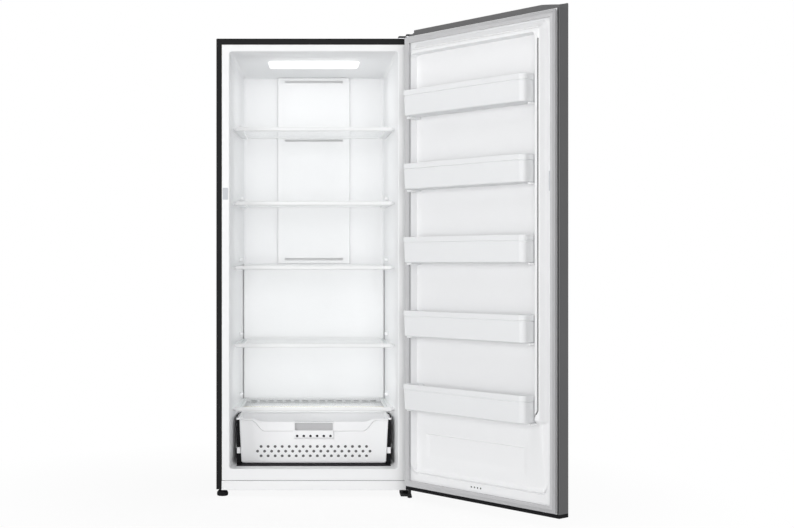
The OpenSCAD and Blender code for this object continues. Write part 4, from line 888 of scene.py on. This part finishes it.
def addInner():
    low, high = reach("door_liner", True)
    xs = lines((-inner["half"], -372, 10), (-372, -318, 1.1), (-318, -268, 5), (-268, -240, 4), (-240, 262, 14),
               (262, 292, 4), (292, 334, 8), (334, 380, 1.1), (380, inner["half"], 9))
    zs = lines((low[2], 106, 9), (106, 158, 1.1), (158, 208, 6), (208, 276, 10), (276, 294, 0.7), (294, 384, 10),
               (384, 444, 1.5), (444, 1834, 30), (1834, 1924, 1.5), (1924, high[2], 9))
    holes = [(x, inner["drainZ"], 3.4, 3.8, 3.4) for x in inner["drains"]]
    bands = lines(*[(x - 5, x + 5, 1.2) for x in (35, 18, 1, -16)])
    xs = np.unique(np.r_[xs, bands].round(3))
    zs = np.unique(np.r_[zs, lines((92, 102, 1.2))].round(3))
    flat, faces = pierced(xs, zs, holes)
    depth = inner["land"] + innerHeight(*flat.T)
    shape = Shape().sheet(placed(flat, depth, "y"), faces[:, ::-1])
    shape.make("doorInner", "door_liner_plastic", "door", "door_liner", wall=1.4, sharp=50)
    # Foam behind it, under the lowest of the heights around each point: for each height over the floor a ring
    # that runs across that face and back along the skin
    xs = np.r_[-404:-380:5j, -376:-316:31j, -300:330:22j, 334:380:24j, 388:404:4j]
    zs = np.r_[52:110:6j, 112:160:18j, 180:380:12j, 386:450:24j, 480:1820:30j, 1834:1924:46j, 1930:1946:4j]
    x, z = np.meshgrid(xs, zs)
    around = [innerHeight(x.ravel() + right, z.ravel() + up) for right in (-4, 0, 4) for up in (-4, 0, 4)]
    y = inner["land"] - inner["foamGap"] + np.min(around, 0).reshape(x.shape)
    x = np.hstack([x, np.broadcast_to([404, -404], (len(zs), 2))])
    y = np.hstack([y, np.full((len(zs), 2), skinLow[1] + door["gripDeep"] + 2)])
    z = np.hstack([z, z[:, :2]])
    Shape().rings(pointed(x, y, z)).make("doorCore", "foam", "door", "door_foam")
    plugs = Shape()
    for hole in holes:
        plugs.disc([(3.6, -17.5), (3.6, -16.4), (2.8, -16.2)], hole[:2], "y", 16)
    plugs.make("drainPlugs", "dark_plastic", "door")
    (x0, x1), (y0, y1), (z0, z1) = (magnet[side] for side in "xyz")
    Shape().block((x0, y0, z0), (x1, y1, z1), 2.5, 0.5, axis="y").make(
        "sensorMagnet", "sensor_plastic", "door")
    # Dark cord in the groove that paints the shade at its bottom: a round section carried down the groove's line and
    # round its turn
    zs = np.r_[inner["grooveTop"] - 4:446:16j, 440:402:14j]
    line = grooveAt(zs)
    a = np.linspace(0, 2 * math.pi, 8, endpoint=False)
    x = line[:, None] + inner["cord"] * np.cos(a)
    y = (inner["land"] + innerHeight(line + 5, zs) - 2.4)[:, None] + inner["cord"] * np.sin(a)
    Shape().rings(pointed(x, y, zs[:, None])).make(
        "grooveCord", "mount_rubber", "door")


# Bins: plan outlines stacked from the floor's fillet up over the band, across the rim and down inside
binSizes = {"corner": 25, "hingeCorner": 8, "fillet": 6, "band": 86, "high": 106, "step": 1.6, "nick": 2.4,
            "wall": 2.5, "flare": 7, "backHigh": 77}


def addBins():
    b = binSizes
    r, w, s, band, high = b["fillet"], b["wall"], b["step"], b["band"], b["high"]
    nick = s + b["nick"]
    arc = quarter(r, 5)
    out = [(s + gap, up) for gap, up in arc]
    out += [(s, band - 6), (s + 0.4, band - 5.4), (nick, band - 4.6), (nick, band - 1.6), (0.6, band - 0.8),
            (0, band), (0, high - 1.2), (0.4, high - 0.3), (w / 2, high), (w - 0.4, high - 0.3), (w, high - 1.2),
            (w, band + 2), (w + 0.3, band + 1), (nick + w, band - 7)]
    out += [(nick + w + gap, w + up) for up, gap in arc]
    for n in range(1, 6):
        low, (x1, y1, _) = reach(f"door_bin_{n}", True)
        x0, y0 = low[:2]
        plan = [(x0, y0), (x0 + 26, y0), (x0 + 44, y0), (x1 - 44, y0), (x1 - 26, y0), (x1, y0), (x1, y1), (x0, y1)]
        radius = [3, 0, 0, 0, 0, 3, b["hingeCorner"], b["corner"]]
        rings = loft(plan, radius, [(inset, low[2] + up) for inset, up in out], "z", 7)
        # The hinge end leans out by an eased share of the way to it, times the height
        rings[..., 0] += b["flare"] * ease(rings[..., 0], x1 - 60, x1 - 4) * (rings[..., 2] - low[2]) / high
        # The back wall is lower between its ends
        dip = (rings[0, :, 1] < y0 + 12) & (rings[0, :, 0] > x0 + 35) & (rings[0, :, 0] < x1 - 35)
        rings[:, dip, 2] = np.minimum(rings[:, dip, 2], low[2] + b["backHigh"])
        Shape().rings(rings).make(f"doorBin{n}", "bin_plastic", f"door_bin_{n}", f"door_bin_{n}")


# Ledges that the bins stand on: how far they reach in under a bin, out past its free end and past its hinge end
rest = {"under": 9, "freeOut": 3, "hingeOut": 18.5, "front": -16, "short": 34, "low": 8, "gap": 0.3}


def addBinRests():
    shape = Shape()
    for n in range(1, 6):
        low, high = reach(f"door_bin_{n}", True)
        for x0, x1 in ((low[0] - rest["freeOut"], low[0] + rest["under"]),
                       (high[0] - rest["under"], high[0] + rest["hingeOut"])):
            shape.block((x0, rest["front"], low[2] - rest["low"]),
                        (x1, high[1] - rest["short"], low[2] - rest["gap"]), 3, 1.5, 4)
    shape.make("binRests", "door_liner_plastic", "door")


def addGripAndPanel():
    (x0, x1), (z0, z1) = door["gripX"], door["gripZ"]
    front, deep = skinLow[1], door["gripDeep"]
    levels = [(-1.4, 1.2), (-4, 0.9), (-4.4, 0.2), (-3.6, -0.3), (-0.6, -0.3), (0.4, 0.6), (1.2, 4),
              (2.6, deep - 6), (4.4, deep - 2), (9, deep)]
    rings = loft(rectangle(x0, z0, x1, z1), 9, [(inset, front + into) for inset, into in levels], "y")
    Shape().rings(rings, [-1]).make("gripCup", "dark_plastic", "door", "door_grip", wall=1)
    half, (z0, z1), lap = door["panelHalf"], door["panelZ"], 1.5
    Shape().block((-half - lap, front - 0.5, z0 - lap), (half + lap, front + 4, z1 + lap), 6, 0.6, axis="y").make(
        "touchPanel", "panel_glass", "door", "control_panel")


addSkin()
addCaps()
addSeal()
addInner()
addBins()
addBinRests()
addGripAndPanel()
print("door made")


# Hinge cap over the upper bracket, and the two front feet: the pad of one with its ribs, the knob of the other
feet = {"pad": 24, "ribs": 24, "ribDeep": 0.5, "knob": 9, "armIn": 16}


def addHingeAndFeet():
    low, high = reach("top_hinge_cover")
    armX = hingeSpot[0] - feet["armIn"]
    plan = [(low[0], 8), (armX, 8), (armX, low[1]), (high[0], low[1]), (high[0], high[1]), (low[0], high[1])]
    Shape().rings(loft(plan, [3, 4, 8, 8, 4, 4], quarterEdges(low[2] - 0.02, high[2], 2.5, 5))).make(
        "hingeCap", "dark_plastic", "cabinet", "top_hinge_cover")
    low, high = reach("left_foot")
    spot = (low[:2] + high[:2]) / 2
    r = (high[0] - low[0]) / 2
    pad = feet["pad"]
    profile = [(0.1, 0), (r - 4, 0), (r - 1.6, 1), (r - 0.6, 3), (r, 7), (r, pad - 11), (r - 0.8, pad - 8),
               (r - 3.5, pad - 4), (r - 8, pad), (6, pad), (5.2, pad + 0.5), (5, pad + 1), (5, high[2])]
    rows = np.array(profile)
    a = np.linspace(0, 2 * math.pi, 96, endpoint=False)
    ribs = np.where((rows[:, 1:] > 3) & (rows[:, 1:] < pad - 6),
                    feet["ribDeep"] * (1 - np.cos(feet["ribs"] * a)), 0)
    radius = rows[:, :1] - ribs
    x, y = spot[0] + radius * np.cos(a), spot[1] + radius * np.sin(a)
    Shape().rings(pointed(x, y, rows[:, 1:])).make("footPad", "dark_plastic", "left_foot", "left_foot")
    low, high = reach("right_foot")
    r, tall = (high[0] - low[0]) / 2, feet["knob"]
    profile = [(0.1, 0), (r - 2, 0), (r - 0.5, 0.6), (r, 2), (r, tall - 2), (r - 0.6, tall - 0.5), (r - 2, tall),
               (2.5, tall), (2.45, high[2])]
    Shape().disc(profile, hingeSpot, "z", 48).make("footKnob", "dark_plastic", "right_foot", "right_foot")


addHingeAndFeet()

# Lower hinge: a flat arm under the door's corner, a web up from its rear edge, and the plate that the screws hold
lowerHinge = {"armLow": 6.5, "armHigh": 14.5, "web": 6, "front": 9, "rear": 44, "round": 4}


def addLowerHinge():
    low, high = reach("bottom_hinge_bracket")
    h = lowerHinge
    rear, top = h["rear"], h["armHigh"]
    shape = Shape().block((low[0], hingeSpot[1] - h["front"], h["armLow"]), (high[0], rear, top),
                          [h["round"], 8, 2, 2], 1.5)
    shape.block((low[0], rear - h["web"], top - 1), (high[0], rear, high[2] - 1), 1, 0.4, 4)
    shape.block((low[0], 14, high[2] - 4.2), high, 2, 0.6, 4)
    # A small knob at the arm's inner end, and the pin
    shape.disc([(2.6, top - 1), (2.6, top + 9), (3.6, top + 9.5), (3.4, top + 13)], (low[0] + 5, hingeSpot[1] + 4),
               "z", 20)
    shape.disc([(6, top - 1), (6, high[2] + 3)], hingeSpot, "z", 24)
    shape.make("lowerHinge", "hinge_paint", "cabinet", "bottom_hinge_bracket")


addLowerHinge()


# Every CAD node that still shows takes the finish of its slot in the record
for row in frame["record"]["subparts"]:
    mesh = frame["nodes"][row["node"]].data
    mesh.materials.clear()
    mesh.materials.append(finishes[row["material_slot"]])

# Stage: pale floor that fades to white away from the part, and a world that is white to the camera
stage = {"size": 60, "near": 0.5, "far": 1.8, "keep": 0.92, "world": 0.25}
white = (1, 1, 1, 1)
# Each lamp: its place, what it points at, its width and height, and its power. The last four are the part's own
# inside light, which the lens and the white walls spread
lamps = {"front": ((0.3, -6.6, 1.0), (0.0, 0.0, 0.95), (3.4, 3.4), 131),
         "left": ((-4.4, -3.4, 1.35), (0.6, -0.3, 1.0), (2.6, 2.6), 106),
         "right": ((3.6, -5.2, 1.6), (0.6, -0.3, 1.0), (2.0, 2.0), 34),
         "top": ((-0.9, -2.2, 4.4), (0.1, -0.1, 1.2), (2.4, 2.4), 32),
         "ceiling": ((0.0, 0.28, 1.862), (0.0, 0.30, 0.0), (0.34, 0.34), 0.25),
         "inside": ((0.0, 0.13, 1.10), (0.0, 0.6, 1.10), (0.56, 1.5), 0.92),
         "overDrawer": ((0.0, 0.30, 0.384), (0.0, 0.301, 0.0), (0.56, 0.3), 0.27),
         "lowShelf": ((0.0, 0.08, 0.49), (0.0, 0.6, 0.45), (0.6, 0.03), 0.2)}


def seen(tree):
    path = tree.node("LightPath")
    outputs = path.socket.node.outputs
    rays = [Sock(tree, outputs[name]) for name in ("Is Camera Ray", "Is Glossy Ray", "Is Transmission Ray")]
    return (rays[0] + rays[1] + rays[2]).math("MINIMUM", 1)


def addStage():
    half = stage["size"] / 2
    mesh = bpy.data.meshes.new("floor")
    mesh.from_pydata([(-half, -half, 0), (half, -half, 0), (half, half, 0), (-half, half, 0)], [], [(0, 1, 2, 3)])
    floor = addObject("floor", mesh)
    material = bpy.data.materials.new("paleFloor")
    tree = Tree(material)
    away = tree.node("VectorMath", {"operation": "LENGTH"}, {0: tree.spot()}, "Value")
    fade = ((away - stage["near"]) / (stage["far"] - stage["near"])).math("MAXIMUM", 0).math("MINIMUM", 1)
    grain = tree.blend(tree.noise(3), (0.80, 0.80, 0.80), (0.84, 0.84, 0.84))
    matt = tree.node("BsdfPrincipled", None, {"Base Color": grain, "Roughness": 0.9})
    glow = tree.node("Emission", None, {"Color": white, "Strength": 1.0})
    share = seen(tree) * (stage["keep"] + (1 - stage["keep"]) * fade)
    both = tree.node("MixShader", None, {0: share, 1: matt, 2: glow})
    tree.node("OutputMaterial", None, {"Surface": both})
    mesh.materials.append(material)
    world = bpy.data.worlds.new("studio")
    bpy.context.scene.world = world
    tree = Tree(world)
    lit = tree.node("Background", None, {"Color": white, "Strength": stage["world"]})
    shown = tree.node("Background", None, {"Color": white, "Strength": 1.0})
    both = tree.node("MixShader", None, {0: seen(tree), 1: lit, 2: shown})
    tree.node("OutputWorld", None, {"Surface": both})
    for name, (spot, target, (width, height), power) in lamps.items():
        lamp = bpy.data.lights.new(name, "AREA")
        lamp.shape, lamp.size, lamp.size_y, lamp.energy = "RECTANGLE", width, height, power
        holder = addObject(name, lamp)
        holder.location = spot
        aim = np.array(target) - np.array(spot)
        holder.rotation_euler = (math.atan2(math.hypot(aim[0], aim[1]), -aim[2]), 0, math.atan2(-aim[0], aim[1]))
        holder.visible_camera = False


addStage()
print("stage made")
